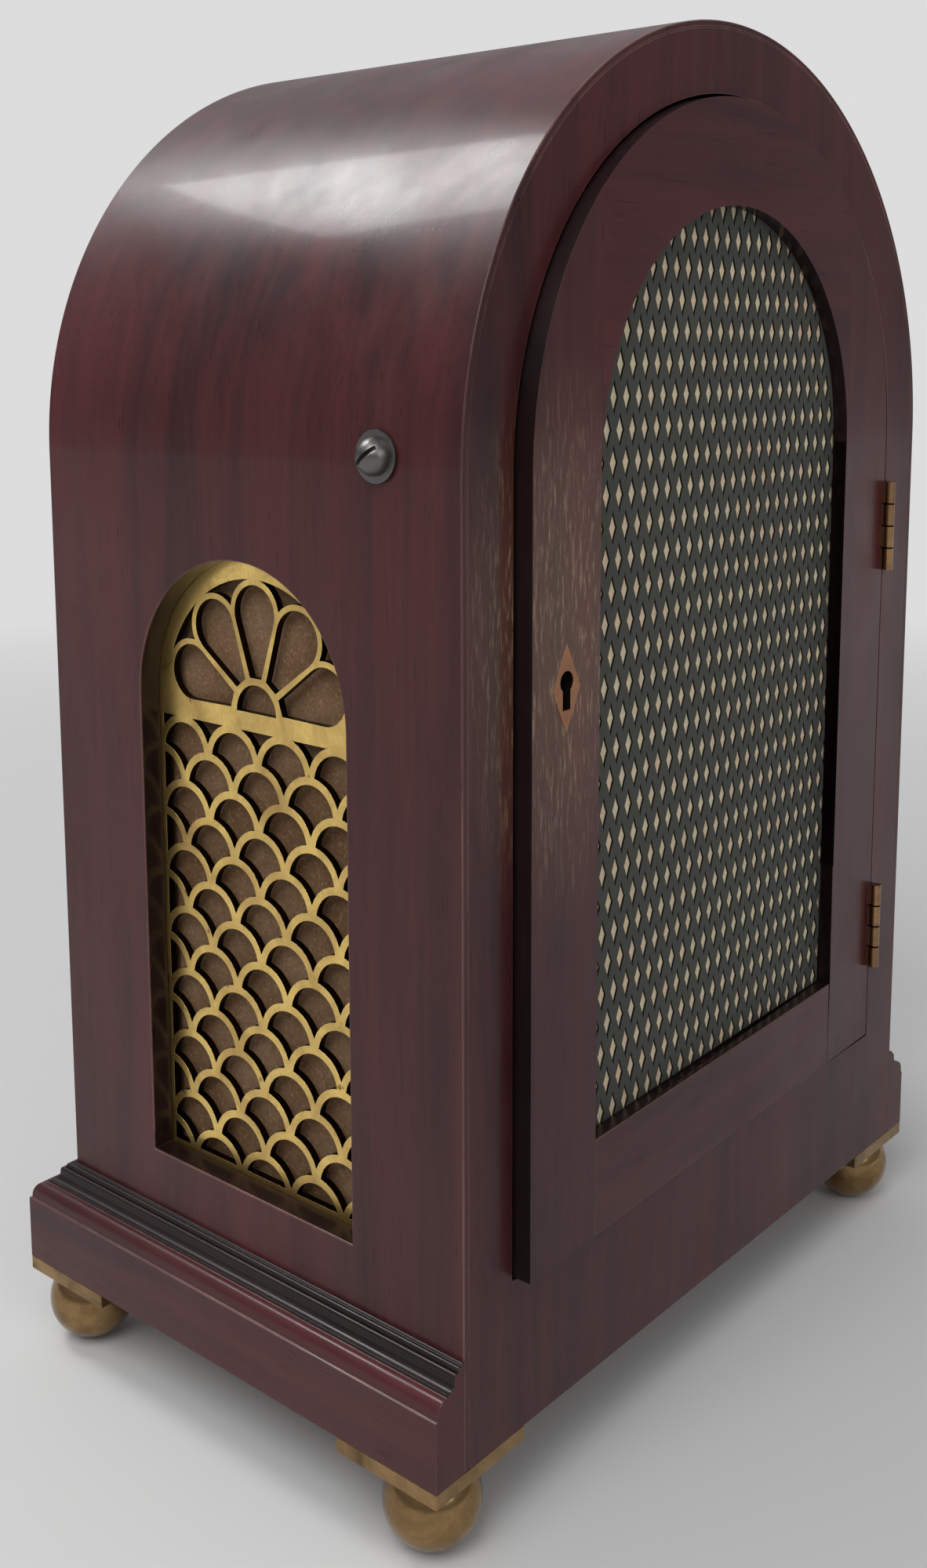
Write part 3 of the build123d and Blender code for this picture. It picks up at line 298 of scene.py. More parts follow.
    def distance(self, vector: Socket, point: Colour = (0.0, 0.0, 0.0)) -> Socket:
        """Returns how far a place is from a point, in metres."""
        node = self.nodes.new("ShaderNodeVectorMath")
        node.operation = "DISTANCE"
        node.inputs[1].default_value = point
        self.links.new(vector, node.inputs[0])
        return node.outputs["Value"]

    def bump(self, height: Socket, distance: float, strength: float = 1.0) -> None:
        """Raises the surface by a height pattern.

        Args:
            height: The pattern.
            distance: How tall it is, in metres.
            strength: How much of it shows.
        """
        node = self.nodes.new("ShaderNodeBump")
        node.inputs["Strength"].default_value = strength
        node.inputs["Distance"].default_value = distance
        self.links.new(height, node.inputs["Height"])
        self.links.new(node.outputs["Normal"], self.surface.inputs["Normal"])


def toned(colour: Colour, share: float) -> Colour:
    """Returns a colour made darker or lighter by a factor."""
    return tuple(min(1.0, value * share) for value in colour)


@dataclass(frozen=True)
class PolishedMahogany:
    """Dark red-brown mahogany under old French polish."""

    grain: Grain
    name: str
    deep: Colour = (0.019, 0.005, 0.0058)
    warm: Colour = (0.056, 0.0115, 0.0125)
    gloss: float = 0.3
    dust: float = 0.35
    scratched: Colour | None = None

    def build(self) -> Material:
        """Returns the material, with light scratches round a place where hands have worn it."""
        bench = NodeBench(self.name)
        along = bench.stretched(self.grain.value)
        figure = bench.noise(95.0, 6.0, 0.62, along, 0.4)
        cloud = bench.noise(14.0, 3.0, 0.5, bench.stretched(toned(self.grain.value, 5)))
        pores = bench.noise(1300.0, 2.0, 0.6, along)
        wood = bench.ramp(figure, (0.34, self.deep), (0.66, self.warm))
        wood = bench.cover(wood, toned(self.warm, 1.5), cloud, 0.35, 0.7, 0.55)
        wood = bench.cover(wood, toned(self.deep, 0.5), pores, 0.60, 0.72, 0.6)
        specks = bench.noise(520.0, 3.0, 0.7, along)
        patches = bench.noise(22.0, 2.0, 0.5)
        worn = bench.join(
            "MULTIPLY", bench.fit(specks, 0.68, 0.76, 0.0, self.dust), bench.fit(patches, 0.5, 0.68, 0.0, 1.0)
        )
        wood = bench.blend(worn, wood, (0.17, 0.12, 0.10))
        if self.scratched:
            spread = bench.distance(bench.stretched((1.0, 1.0, 0.5)), self.scratched)
            near = bench.fit(spread, 0.012, 0.040, 1.0, 0.0)
            hatch = bench.noise(900.0, 4.0, 0.75, bench.stretched((1.0, 1.0, 0.12)))
            wood = bench.cover(wood, (0.15, 0.08, 0.045), near, 0.0, 1.0, 0.35)
            scratches = bench.join("MULTIPLY", near, bench.fit(hatch, 0.52, 0.68, 0.0, 0.8))
            wood = bench.blend(scratches, wood, (0.30, 0.20, 0.13))
        bench.colour(wood)
        smear = bench.noise(34.0, 4.0, 0.6)
        bench.rough(bench.fit(smear, 0.3, 0.75, self.gloss - 0.05, self.gloss + 0.13))
        bench.set(Coat_Weight=0.12, Coat_Roughness=0.08, Specular_IOR_Level=0.26)
        bench.bump(bench.join("ADD", pores, bench.join("MULTIPLY", figure, 0.5)), 0.00006, 0.35)
        return bench.material


@dataclass(frozen=True)
class AgedBrass:
    """Golden brass with a brown tarnish and small dark spots."""

    name: str
    bright: Colour
    tarnish: Colour
    age: float
    gloss: float
    facing: str = ""
    rings: tuple[float, ...] = ()

    def build(self) -> Material:
        """Returns the material, black as painted shade on the walls of its holes, and black in its rings where it
        has them.
        """
        bench = NodeBench(self.name)
        cloud = bench.noise(60.0, 5.0, 0.65, warp=0.6)
        fine = bench.noise(900.0, 3.0, 0.7)
        spots = bench.noise(210.0, 2.0, 0.5)
        metal = bench.cover(self.bright, self.tarnish, cloud, 0.38, 0.72, self.age)
        metal = bench.cover(metal, toned(self.bright, 0.55), fine, 0.45, 0.75, 0.35)
        metal = bench.cover(metal, (0.06, 0.035, 0.015), spots, 0.70, 0.76, self.age)
        # Painted shade: faces turned away from the facing axis, the walls of the holes, are made near black.
        if self.facing:
            metal = bench.blend(bench.walls(self.facing, 0.3, 0.6), metal, (0.02, 0.012, 0.006))
        if self.rings:
            level = bench.parts(bench.place)["Z"]
            for height in self.rings:
                apart = bench.join("ABSOLUTE", bench.join("SUBTRACT", level, height), 0.0)
                metal = bench.blend(bench.fit(apart, 0.00022, 0.0004, 1.0, 0.0), metal, (0.006, 0.004, 0.003))
        bench.colour(metal)
        bench.rough(bench.fit(cloud, 0.3, 0.75, self.gloss - 0.06, self.gloss + 0.22))
        bench.set(Metallic=1.0)
        bench.bump(bench.join("ADD", fine, spots), 0.00005, 0.4)
        return bench.material


@dataclass(frozen=True)
class Metal:
    """A plain metal with a brushed or darkened surface."""

    name: str
    tone: Colour
    gloss: float
    brushed: Colour = (1.0, 1.0, 1.0)

    def build(self) -> Material:
        """Returns the material."""
        bench = NodeBench(self.name)
        lines = bench.noise(700.0, 4.0, 0.7, bench.stretched(self.brushed))
        cloud = bench.noise(45.0, 3.0, 0.5)
        bench.colour(bench.cover(self.tone, toned(self.tone, 0.6), cloud, 0.35, 0.7, 0.6))
        bench.rough(bench.fit(lines, 0.3, 0.7, self.gloss - 0.07, self.gloss + 0.12))
        bench.set(Metallic=1.0)
        bench.bump(lines, 0.00004, 0.3)
        return bench.material


@dataclass(frozen=True)
class Paint:
    """Thin old paint on metal."""

    name: str
    tone: Colour
    shade: Colour
    gloss: float
    shaded_walls: bool = False

    def build(self) -> Material:
        """Returns the material, black as painted shade on the walls of its holes where asked."""
        bench = NodeBench(self.name)
        cloud = bench.noise(38.0, 5.0, 0.6)
        grit = bench.noise(1500.0, 2.0, 0.6)
        paint = bench.cover(self.tone, self.shade, cloud, 0.35, 0.7, 0.8)
        # Painted shade: the walls of the holes, turned away from Y, are made near black.
        if self.shaded_walls:
            paint = bench.blend(bench.walls("Y"), paint, (0.004, 0.004, 0.004))
            bench.set(Specular_IOR_Level=0.15)
        bench.colour(paint)
        bench.rough(bench.fit(cloud, 0.3, 0.7, self.gloss - 0.08, self.gloss + 0.1))
        bench.bump(grit, 0.00004, 0.4)
        return bench.material


@dataclass(frozen=True)
class WovenCloth:
    """A fine plain weave with faded patches."""

    name: str
    warp_tone: Colour
    weft_tone: Colour
    faded: Colour
    thread: float = 0.00042
    across: str = "Y"

    def build(self) -> Material:
        """Returns the material."""
        bench = NodeBench(self.name)
        turns = 2 * math.pi / self.thread
        parts = bench.parts(bench.place)
        ups = bench.join("SINE", bench.join("MULTIPLY", parts["Z"], turns), 0.0)
        overs = bench.join("SINE", bench.join("MULTIPLY", parts[self.across], turns), 0.0)
        weave = bench.join("MULTIPLY", ups, overs)
        slubs = bench.noise(150.0, 4.0, 0.65, bench.stretched((0.2, 0.2, 1.0)))
        lint = bench.noise(1100.0, 3.0, 0.7)
        cloud = bench.noise(24.0, 4.0, 0.6)
        tone = bench.cover(self.warp_tone, self.weft_tone, weave, -0.6, 0.6, 1.0)
        tone = bench.cover(tone, self.faded, cloud, 0.4, 0.75, 0.75)
        tone = bench.cover(tone, toned(self.warp_tone, 0.6), slubs, 0.55, 0.8, 0.45)
        tone = bench.cover(tone, toned(self.faded, 1.7), lint, 0.56, 0.72, 0.55)
        tone = bench.cover(tone, toned(self.weft_tone, 0.35), lint, 0.42, 0.30, 0.6)
        bench.colour(tone)
        bench.set(Roughness=0.9, Specular_IOR_Level=0.15)
        bench.bump(bench.join("ADD", weave, slubs), 0.00012, 0.7)
        return bench.material


@dataclass(frozen=True)
class PlainTimber:
    """Unpolished secondary wood."""

    name: str
    grain: Grain = Grain.ACROSS

    def build(self) -> Material:
        """Returns the material."""
        bench = NodeBench(self.name)
        along = bench.stretched(self.grain.value)
        figure = bench.noise(110.0, 6.0, 0.65, along, 0.5)
        bench.colour(bench.ramp(figure, (0.3, (0.12, 0.065, 0.035)), (0.7, (0.27, 0.165, 0.09))))
        bench.set(Roughness=0.75)
        bench.bump(figure, 0.00025, 0.5)
        return bench.material


@dataclass(frozen=True)
class ClearGlass:
    """The dial's glass."""

    name: str = "clear_glass"

    def build(self) -> Material:
        """Returns the material."""
        bench = NodeBench(self.name)
        bench.set(Transmission_Weight=1.0, Roughness=0.02, IOR=1.46, Base_Color=(0.97, 0.985, 0.98, 1.0))
        return bench.material


def made(kind: type, *values: object, **options: object) -> Material:
    """Returns a dataclass field that builds its finish when the finishes are made.

    Args:
        kind: The finish's class.
        *values: Its values in order.
        **options: Its values by name.

    Returns:
        The field.
    """
    return field(default_factory=lambda: kind(*values, **options).build())


@dataclass
class Finishes:
    """Every finish of the clock, built once."""

    upright: Material = made(PolishedMahogany, Grain.UPRIGHT, "mahogany_upright")
    across: Material = made(PolishedMahogany, Grain.ACROSS, "mahogany_across")
    backward: Material = made(PolishedMahogany, Grain.BACKWARD, "mahogany_backward")
    brass: Material = made(AgedBrass, "aged_brass", (0.85, 0.60, 0.21), (0.36, 0.225, 0.09), 0.75, 0.28)
    pierced_brass: Material = made(
        AgedBrass, "pierced_brass", (0.88, 0.62, 0.20), (0.40, 0.24, 0.09), 0.8, 0.27, facing="X"
    )
    foot_brass: Material = made(AgedBrass, "foot_brass", (0.37, 0.235, 0.105), (0.11, 0.062, 0.028), 0.9, 0.14)
    dull_brass: Material = made(
        AgedBrass, "dull_brass", (0.34, 0.20, 0.10), (0.13, 0.07, 0.035), 0.85, 0.26,
        rings=tuple((z + shift) * MM for z in HINGE_HEIGHTS for shift in (-HINGE_HALF / 2, 0.0, HINGE_HALF / 2)),
    )
    copper: Material = made(AgedBrass, "worn_copper", (0.42, 0.21, 0.11), (0.26, 0.13, 0.08), 0.7, 0.38)
    lock_wood: Material = made(
        PolishedMahogany, Grain.UPRIGHT, "mahogany_by_the_lock", scratched=(0.09, 0.09, 0.127)
    )
    edge: Material = made(
        PolishedMahogany, Grain.UPRIGHT, "worn_edge", (0.03, 0.011, 0.011), (0.115, 0.055, 0.048), 0.25, 0.9
    )
    # Near-black wood used as painted shade on the window reveals, the rear reveal, the door's edges and the
    # moulding's hollow.
    dark: Material = made(
        PolishedMahogany, Grain.UPRIGHT, "dark_stain", (0.004, 0.002, 0.002), (0.012, 0.005, 0.005), 0.32, 0.2
    )
    movement_brass: Material = made(Metal, "movement_brass", (0.66, 0.5, 0.22), 0.32, (1.0, 1.0, 0.05))
    steel: Material = made(Metal, "dark_steel", (0.16, 0.155, 0.15), 0.35)
    blued: Material = made(Metal, "blued_steel", (0.03, 0.04, 0.11), 0.25)
    grille: Material = made(Paint, "grille_paint", (0.047, 0.049, 0.041), (0.062, 0.062, 0.052), 0.55, True)
    dial: Material = made(Paint, "dial_paint", (0.80, 0.77, 0.67), (0.72, 0.67, 0.54), 0.35)
    ink: Material = made(Paint, "dial_ink", (0.012, 0.012, 0.012), (0.03, 0.027, 0.024), 0.4)
    silk: Material = made(
        WovenCloth, "brown_silk", (0.22, 0.125, 0.062), (0.125, 0.066, 0.034), (0.34, 0.225, 0.135)
    )
    gold_cloth: Material = made(
        WovenCloth, "gold_cloth", (0.66, 0.55, 0.36), (0.80, 0.71, 0.50), (0.68, 0.46, 0.33), across="X"
    )
    timber: Material = made(PlainTimber, "plain_timber")
    glass: Material = made(ClearGlass)


# Workbench


def deselect() -> None:
    """Leaves nothing selected."""
    if bpy.context.object and bpy.context.object.mode != "OBJECT":
        bpy.ops.object.mode_set(mode="OBJECT")
    bpy.ops.object.select_all(action="DESELECT")


def only(obj: Solid) -> None:
    """Makes one object the only selected and active one."""
    deselect()
    obj.select_set(True)
    bpy.context.view_layer.objects.active = obj


def pick(obj: Solid, test: Callable[[Vector], bool], faces: bool = False) -> None:
    """Selects, in edit mode, the points or faces that a test accepts by their place.

    Args:
        obj: The object in edit mode.
        test: Says whether a point, or a face's middle, is taken.
        faces: True to pick faces.
    """
    bpy.ops.mesh.select_mode(type="FACE" if faces else "VERT")
    bpy.ops.mesh.select_all(action="DESELECT")
    mesh = bmesh.from_edit_mesh(obj.data)
    for item in mesh.faces if faces else mesh.verts:
        if test(item.calc_center_median() if faces else item.co):
            item.select_set(True)
    mesh.select_flush(True)
    bmesh.update_edit_mesh(obj.data)


def named(obj: Solid, name: str) -> Solid:
    """Names an object and its mesh alike and returns it."""
    obj.name = obj.data.name = name
    return obj


def trim(obj: Solid, point: Sequence[float], normal: Sequence[float], beyond: bool) -> None:
    """Cuts an object along a plane, closes the cut and throws one side away.

    Args:
        obj: The object.
        point: A point of the plane, in metres.
        normal: The plane's direction.
        beyond: True to keep the side that the direction points to.
    """
    only(obj)
    bpy.ops.object.mode_set(mode="EDIT")
    bpy.ops.mesh.select_all(action="SELECT")
    bpy.ops.mesh.bisect(
        plane_co=point, plane_no=normal, use_fill=True, clear_inner=beyond, clear_outer=not beyond
    )
    bpy.ops.object.mode_set(mode="OBJECT")


def face_out(obj: Solid) -> None:
    """Turns the faces of a mirrored object outwards."""
    only(obj)
    bpy.ops.object.mode_set(mode="EDIT")
    bpy.ops.mesh.select_all(action="SELECT")
    bpy.ops.mesh.normals_make_consistent(inside=False)
    bpy.ops.object.mode_set(mode="OBJECT")


def settle(obj: Solid) -> Solid:
    """Puts an object's place into its mesh and returns it."""
    only(obj)
    bpy.ops.object.transform_apply(location=True, rotation=True, scale=True)
    return obj


def slab(name: str, outline: Sequence[Point], near: float, far: float) -> Solid:
    """Traces an outline in X and Z point by point, fills it and draws it out along Y.

    Args:
        name: The object's name.
        outline: The corner points in millimetres, as X and Z.
        near: The face's Y in millimetres.
        far: The other face's Y in millimetres.

    Returns:
        The closed solid.
    """
    deselect()
    bpy.ops.mesh.primitive_plane_add(size=0.001)
    obj = named(bpy.context.object, name)
    bpy.ops.object.mode_set(mode="EDIT")
    bpy.ops.mesh.select_mode(type="VERT")
    bpy.ops.mesh.select_all(action="SELECT")
    bpy.ops.mesh.merge(type="CENTER")
    x, z = outline[0]
    bpy.ops.transform.translate(value=(x * MM, near * MM, z * MM))
    for nx, nz in outline[1:]:
        bpy.ops.mesh.extrude_region_move(TRANSFORM_OT_translate={"value": ((nx - x) * MM, 0, (nz - z) * MM)})
        x, z = nx, nz
    bpy.ops.mesh.select_all(action="SELECT")
    bpy.ops.mesh.edge_face_add()
    bpy.ops.mesh.select_all(action="SELECT")
    bpy.ops.mesh.extrude_region_move(TRANSFORM_OT_translate={"value": (0, (far - near) * MM, 0)})
    bpy.ops.mesh.select_all(action="SELECT")
    bpy.ops.mesh.normals_make_consistent(inside=False)
    bpy.ops.object.mode_set(mode="OBJECT")
    return obj


def arc(
    x: float, z: float, radius: float, first: float, last: float, steps: int, rise: float | None = None
) -> list[Point]:
    """Returns points along an arc, with both of its ends.

    Args:
        x: Its middle's X.
        z: Its middle's Z.
        radius: Its radius.
        first: The angle it starts at, in radians from +X towards +Z.
        last: The angle it ends at.
        steps: How many edges it has.
        rise: Its radius along Z, where that differs.

    Returns:
        The points.
    """
    high = radius if rise is None else rise
    turns = (first + (last - first) * i / steps for i in range(steps + 1))
    return [(x + radius * math.cos(t), z + high * math.sin(t)) for t in turns]


def arch_points(radius: float, bottom: float, spring: float, steps: int = 72) -> list[Point]:
    """Returns a round-headed outline.

    Args:
        radius: Half the width, in millimetres.
        bottom: The height of its foot.
        spring: The height where the round head starts.
        steps: How many edges the head has.

    Returns:
        The outline's points.
    """
    return [(-radius, bottom), (radius, bottom), *arc(0.0, spring, radius, 0.0, math.pi, steps)]


def bar(name: str, low: Sequence[float], high: Sequence[float]) -> Solid:
    """Adds a rectangular block between two corners, in millimetres.

    Args:
        name: The object's name.
        low: The lowest corner.
        high: The highest corner.

    Returns:
        The block.
    """
    deselect()
    middle = [(a + b) / 2 * MM for a, b in zip(low, high)]
    bpy.ops.mesh.primitive_cube_add(size=1, location=middle, scale=[(b - a) * MM for a, b in zip(low, high)])
    return settle(named(bpy.context.object, name))


def round_bar(name: str, radius: float, start: Sequence[float], end: Sequence[float], steps: int) -> Solid:
    """Adds a round bar between two points, in millimetres.

    Args:
        name: The object's name.
        radius: Its radius.
        start: One end.
        end: The other end.
        steps: How many sides it has.

    Returns:
        The bar.
    """
    deselect()
    a, b = Vector(start) * MM, Vector(end) * MM
    bpy.ops.mesh.primitive_cylinder_add(
        vertices=steps, radius=radius * MM, depth=(b - a).length, location=(a + b) / 2,
        rotation=(b - a).to_track_quat("Z", "Y").to_euler(),
    )
    return settle(named(bpy.context.object, name))


def merge(name: str, parts: Sequence[Solid]) -> Solid:
    """Joins objects into the first of them.

    Args:
        name: The joined object's name.
        parts: The objects.

    Returns:
        The joined object.
    """
    deselect()
    for part in parts:
        part.select_set(True)
    bpy.context.view_layer.objects.active = parts[0]
    if len(parts) > 1:
        bpy.ops.object.join()
    return named(parts[0], name)


def carve(obj: Solid, tool: Solid, kind: str = "DIFFERENCE") -> None:
    """Cuts, joins or intersects an object with a tool, which is then thrown away.

    Args:
        obj: The object that is shaped.
        tool: The other object.
        kind: The Boolean operation.
    """
    only(obj)
    modifier = obj.modifiers.new("carve", "BOOLEAN")
    modifier.operation, modifier.object, modifier.solver = kind, tool, "EXACT"
    bpy.ops.object.modifier_apply(modifier=modifier.name)
    bpy.data.objects.remove(tool, do_unlink=True)


def ease_edges(
    obj: Solid, width: float, segments: int = 2, sharpest: float = 35.0,
    tones: Sequence[Material] = (),
) -> None:
    """Rounds an object's sharp edges and smooths its shading.

    Args:
        obj: The object.
        width: How far each edge is taken off, in millimetres.
        segments: How many faces each rounded edge gets.
        sharpest: The least angle, in degrees, of an edge that is rounded.
        tones: The piece's finish, then one for its worn edges, then any others.
    """
    only(obj)
    for tone in tones:
        obj.data.materials.append(tone)
    modifier = obj.modifiers.new("edges", "BEVEL")
    modifier.material = 1 if tones else -1
    modifier.width, modifier.segments = width * MM, segments
    modifier.limit_method, modifier.angle_limit = "ANGLE", math.radians(sharpest)
    modifier.use_clamp_overlap = True
    bpy.ops.object.modifier_apply(modifier=modifier.name)
    smooth(obj, sharpest)


def smooth(obj: Solid, sharpest: float = 35.0) -> None:
    """Smooths an object's shading between its flats, which stay flat.

    Args:
        obj: The object.
        sharpest: The least angle, in degrees, that still shows as an edge.
    """
    only(obj)
    bpy.ops.object.shade_smooth_by_angle(angle=math.radians(sharpest))
    modifier = obj.modifiers.new("flats", "WEIGHTED_NORMAL")
    modifier.keep_sharp, modifier.weight = True, 100
    bpy.ops.object.modifier_apply(modifier=modifier.name)


def stain(obj: Solid, test: Callable[[Vector], bool]) -> None:
    """Gives an object's faces its third finish, the near-black painted shade, where a test accepts their middle.

    Args:
        obj: The object, with at least three finishes.
        test: Says whether a face gets the painted shade, by its middle in metres.
    """
    only(obj)
    bpy.ops.object.mode_set(mode="EDIT")
    pick(obj, test, faces=True)
    obj.active_material_index = 2
    bpy.ops.object.material_slot_assign()
    bpy.ops.object.mode_set(mode="OBJECT")


def dress(obj: Solid, finish: Material, slot: str, body: str, *nodes: str) -> None:
    """Gives a piece its finish and its place in the moving clock.

    Args:
        obj: The finished piece.
        finish: Its material.
        slot: The record's material slot; not used.
        body: The body it rides on.
        *nodes: The CAD nodes it stands for.
    """
    if not obj.data.materials:
        obj.data.materials.append(finish)
    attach(obj, body)
    if nodes:
        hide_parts(*nodes)
    log.info("%s: %d faces", obj.name, len(obj.data.polygons))


# Case


@dataclass
class Case:
    """The mahogany case: bent shell, front panel, rear frame, mouldings and feet. Sizes in millimetres."""

    width: float = 254.0
    depth: float = 172.0
    middle_y: float = 3.6
    spring_z: float = 301.0
    base_z: float = 28.4
    wall: float = 12.0
    veneer: float = 2.0
    board: float = 14.0
    window_half: float = 44.0
    window_bottom: float = 80.0
    window_spring: float = 228.6
    window_lip: float = 4.0
    fret_depth: float = 7.5
    door_opening: float = 106.2
    door_opening_bottom: float = 75.3
    dial_opening: float = 96.4
    projection: float = 11.5
    fascia_top: float = 54.6
    moulding_top: float = 61.5
    plate_size: float = 38.0
    plate_thickness: float = 4.6
    ball_radius: float = 14.2
    ball_sunk: float = 0.36
    inside: float = 90.0
    outside: float = 160.0

    @property
    def half(self) -> float:
        """Half the case's width."""
        return self.width / 2

    @property
    def front(self) -> float:
        """The Y of the front face."""
        return self.middle_y - self.depth / 2

    @property
    def back(self) -> float:
        """The Y of the rear face."""
        return self.middle_y + self.depth / 2

    def window(self, grow: float) -> list[Point]:
        """Returns the side window's outline, grown on every side but its spring line."""
        return arch_points(self.window_half + grow, self.window_bottom - grow, self.window_spring)

    def outline(self, inset: float = 0.0) -> list[Point]:
        """Returns the case's own outline, inset from its round head and sides."""
        return arch_points(self.half - inset, self.base_z, self.spring_z, FINE)

    def hollow(self, inset: float) -> list[Point]:
        """Returns the outline of a cutter that runs out through the foot of the case."""
        return arch_points(self.half - inset, self.base_z - OVER, self.spring_z, FINE)

    def to_side(self, obj: Solid, side: Side) -> Solid:
        """Turns what was made facing the back to face out of a side wall.

        Args:
            obj: The object, with its distance out from the middle along Y.
            side: The wall.

        Returns:
            The turned object.
        """
        obj.rotation_euler = (0, 0, -side.value * math.pi / 2)
        obj.location = (0, self.middle_y * MM, 0)
        return settle(obj)

    def build(self, finishes: Finishes) -> None:
        """Builds the case's wooden pieces and feet.

        Args:
            finishes: The clock's materials.
        """
        self.shell(finishes)
        self.ends(finishes)
        self.mouldings(finishes)
        self.feet(finishes)

    def shell(self, finishes: Finishes) -> None:
        """Builds the bent shell with its side windows."""
        front, back = self.front, self.back
        shell = slab("case_shell", self.outline(), front, back)
        rebate = self.hollow(self.veneer)
        carve(shell, slab("hollow", self.hollow(self.wall), front - OVER, back + OVER))
        carve(shell, slab("front_rebate", rebate, front - OVER, front + self.board))
        carve(shell, slab("rear_rebate", rebate, back - self.board, back + OVER))
        for side in Side:
            for grow, end in ((0.0, self.outside), (self.window_lip, self.half - self.fret_depth)):
                carve(shell, self.to_side(slab("window", self.window(grow), self.inside, end), side))
        ease_edges(shell, 0.45, tones=(finishes.upright, finishes.edge, finishes.dark))
        # Painted shade: the faces in and round each side window, its reveal, take the near-black finish.
        deep, wide = (self.half - 0.6) * MM, (self.window_half + 0.2) * MM
        top = (self.window_spring + self.window_half + 0.2) * MM
        stain(shell, lambda v: abs(v.x) < deep and abs(v.y - self.middle_y * MM) < wide and v.z < top)
        dress(shell, finishes.upright, "mahogany", "case", "carcass")

    def ends(self, finishes: Finishes) -> None:
        """Builds the front panel and the rear frame with its hinge recesses and the lock's mortise."""
        front, back, spring = self.front, self.back, self.spring_z
        panel = slab("front_board", self.outline(self.veneer), front, front + self.board)
        carve(panel, round_bar("hole", self.dial_opening, (0, front - OVER, spring), (0, front + 30, spring), FINE))
        ease_edges(panel, 0.3, tones=(finishes.upright, finishes.edge))
        dress(panel, finishes.upright, "mahogany", "case", "front_panel")
        frame = slab("rear_surround", self.outline(self.veneer), back - self.board, back)
        opening = arch_points(self.door_opening, self.door_opening_bottom, spring, FINE)
        carve(frame, slab("opening", opening, back - 30, back + OVER))
        for z in HINGE_HEIGHTS:
            carve(frame, bar("recess", (-107.1, back - OVER, z - HINGE_HALF), (-100, back + 1, z + HINGE_HALF)))
        carve(frame, bar("mortise", (104, back - 12.6, 248), (111.7, back - 1.8, 262)))
        ease_edges(frame, 0.35, tones=(finishes.lock_wood, finishes.edge, finishes.dark))
        # Painted shade: every face but the rear face, the opening's reveal and the recesses, takes the near-black
        # finish.
        stain(frame, lambda v: v.y < (back - 0.5) * MM)
        dress(frame, finishes.upright, "mahogany", "case", "rear_frame", "rear_frame_lock_post")

    def profile(self) -> list[Point]:
        """Returns the plinth moulding's section as its distance out from the case and its height."""
        out, top, shoulder = self.projection, self.moulding_top, self.fascia_top
        quirk, step, reed = 0.7, 0.9, 0.9
        ovolo, cavetto = (3.0, 4.6), (2.1, 2.6)
        points = [(0.0, self.base_z), (out, self.base_z), (out, shoulder - 5.2), (out - quirk, shoulder - 5.0)]
        points += arc(out - quirk - ovolo[0], shoulder - ovolo[1], ovolo[0], 0.0, math.pi / 2, 8, ovolo[1])[1:]
        points += [(out - 4.6, shoulder), (out - 4.8, shoulder + step), (out - 5.4, shoulder + step)]
        points += arc(6.1, shoulder + step + cavetto[1], cavetto[0], math.pi / 2, math.pi, 5, -cavetto[1])[1:]
        for middle, height in ((3.1, shoulder + 4.3), (1.7, shoulder + 5.6)):
            points += [(middle + reed * math.cos(a), height + reed * math.sin(a)) for a in (0.0, 0.8, 1.6, 2.3)]
        return [*points, (0.5, top), (0.0, top)]

    def in_hollow(self, middle: Vector) -> bool:
        """Says whether a face of the moulding lies in its hollow and reeds, which take the near-black painted
        shade.
        """
        return middle.z > (self.fascia_top + 0.2) * MM

    def mouldings(self, finishes: Finishes) -> None:
        """Builds the three plinth mouldings with their mitred front corners."""
        reach = self.half + self.projection
        front = slab("front_moulding", self.profile(), -reach, reach)
        front.rotation_euler = (0, 0, -math.pi / 2)
        front.location = (0, self.front * MM, 0)
        settle(front)
        for side in Side:
            run = slab(f"{side.word}_moulding", self.profile(), -self.depth - 30, 0)
            run.scale = (side.value, 1, 1)
            run.location = (side.value * self.half * MM, self.back * MM, 0)
            settle(run)
            if side is Side.LEFT:
                face_out(run)
            corner = Vector((side.value * self.half, self.front, 0)) * MM
            for piece, beyond in ((run, True), (front, False)):
                trim(piece, corner, (side.value, 1, 0), beyond)
            ease_edges(run, 0.18, 2, 50, (finishes.backward, finishes.edge, finishes.dark))
            # Painted shade in the moulding's hollow and reeds.
            stain(run, self.in_hollow)
            dress(run, finishes.backward, "mahogany", "case", f"plinth_{side.word}")
        ease_edges(front, 0.18, 2, 50, (finishes.across, finishes.edge, finishes.dark))
        # Painted shade in the moulding's hollow and reeds.
        stain(front, self.in_hollow)
        dress(front, finishes.across, "mahogany", "case", "plinth_front")

    def feet(self, finishes: Finishes) -> None:
        """Builds the ball feet with their square plates."""
        reach = self.half + self.projection
        under = self.base_z - self.plate_thickness
        for side in Side:
            for word, edge, inward in (("front", self.front - self.projection, 1), ("rear", self.back, -1)):
                deselect()
                x = side.value * (reach - self.ball_radius)
                y = edge + inward * self.ball_radius
                bpy.ops.mesh.primitive_uv_sphere_add(
                    segments=64, ring_count=40, radius=self.ball_radius * MM,
                    location=(x * MM, y * MM, (self.ball_radius - self.ball_sunk) * MM),
                )
                ball = settle(bpy.context.object)
                for height, beyond in ((0.0, True), (under, False)):
                    trim(ball, (0, 0, height * MM), (0, 0, 1), beyond)
                xs = sorted((side.value * reach, side.value * (reach - self.plate_size)))
                ys = sorted((edge, edge + inward * self.plate_size))
                plate = bar("plate", (xs[0], ys[0], under), (xs[1], ys[1], self.base_z))
                ease_edges(plate, 0.35)
                foot = merge(f"ball_foot_{word}_{side.word}", [ball, plate])
                smooth(foot)
                dress(foot, finishes.foot_brass, "brass", "case", f"foot_{word}_{side.word}")


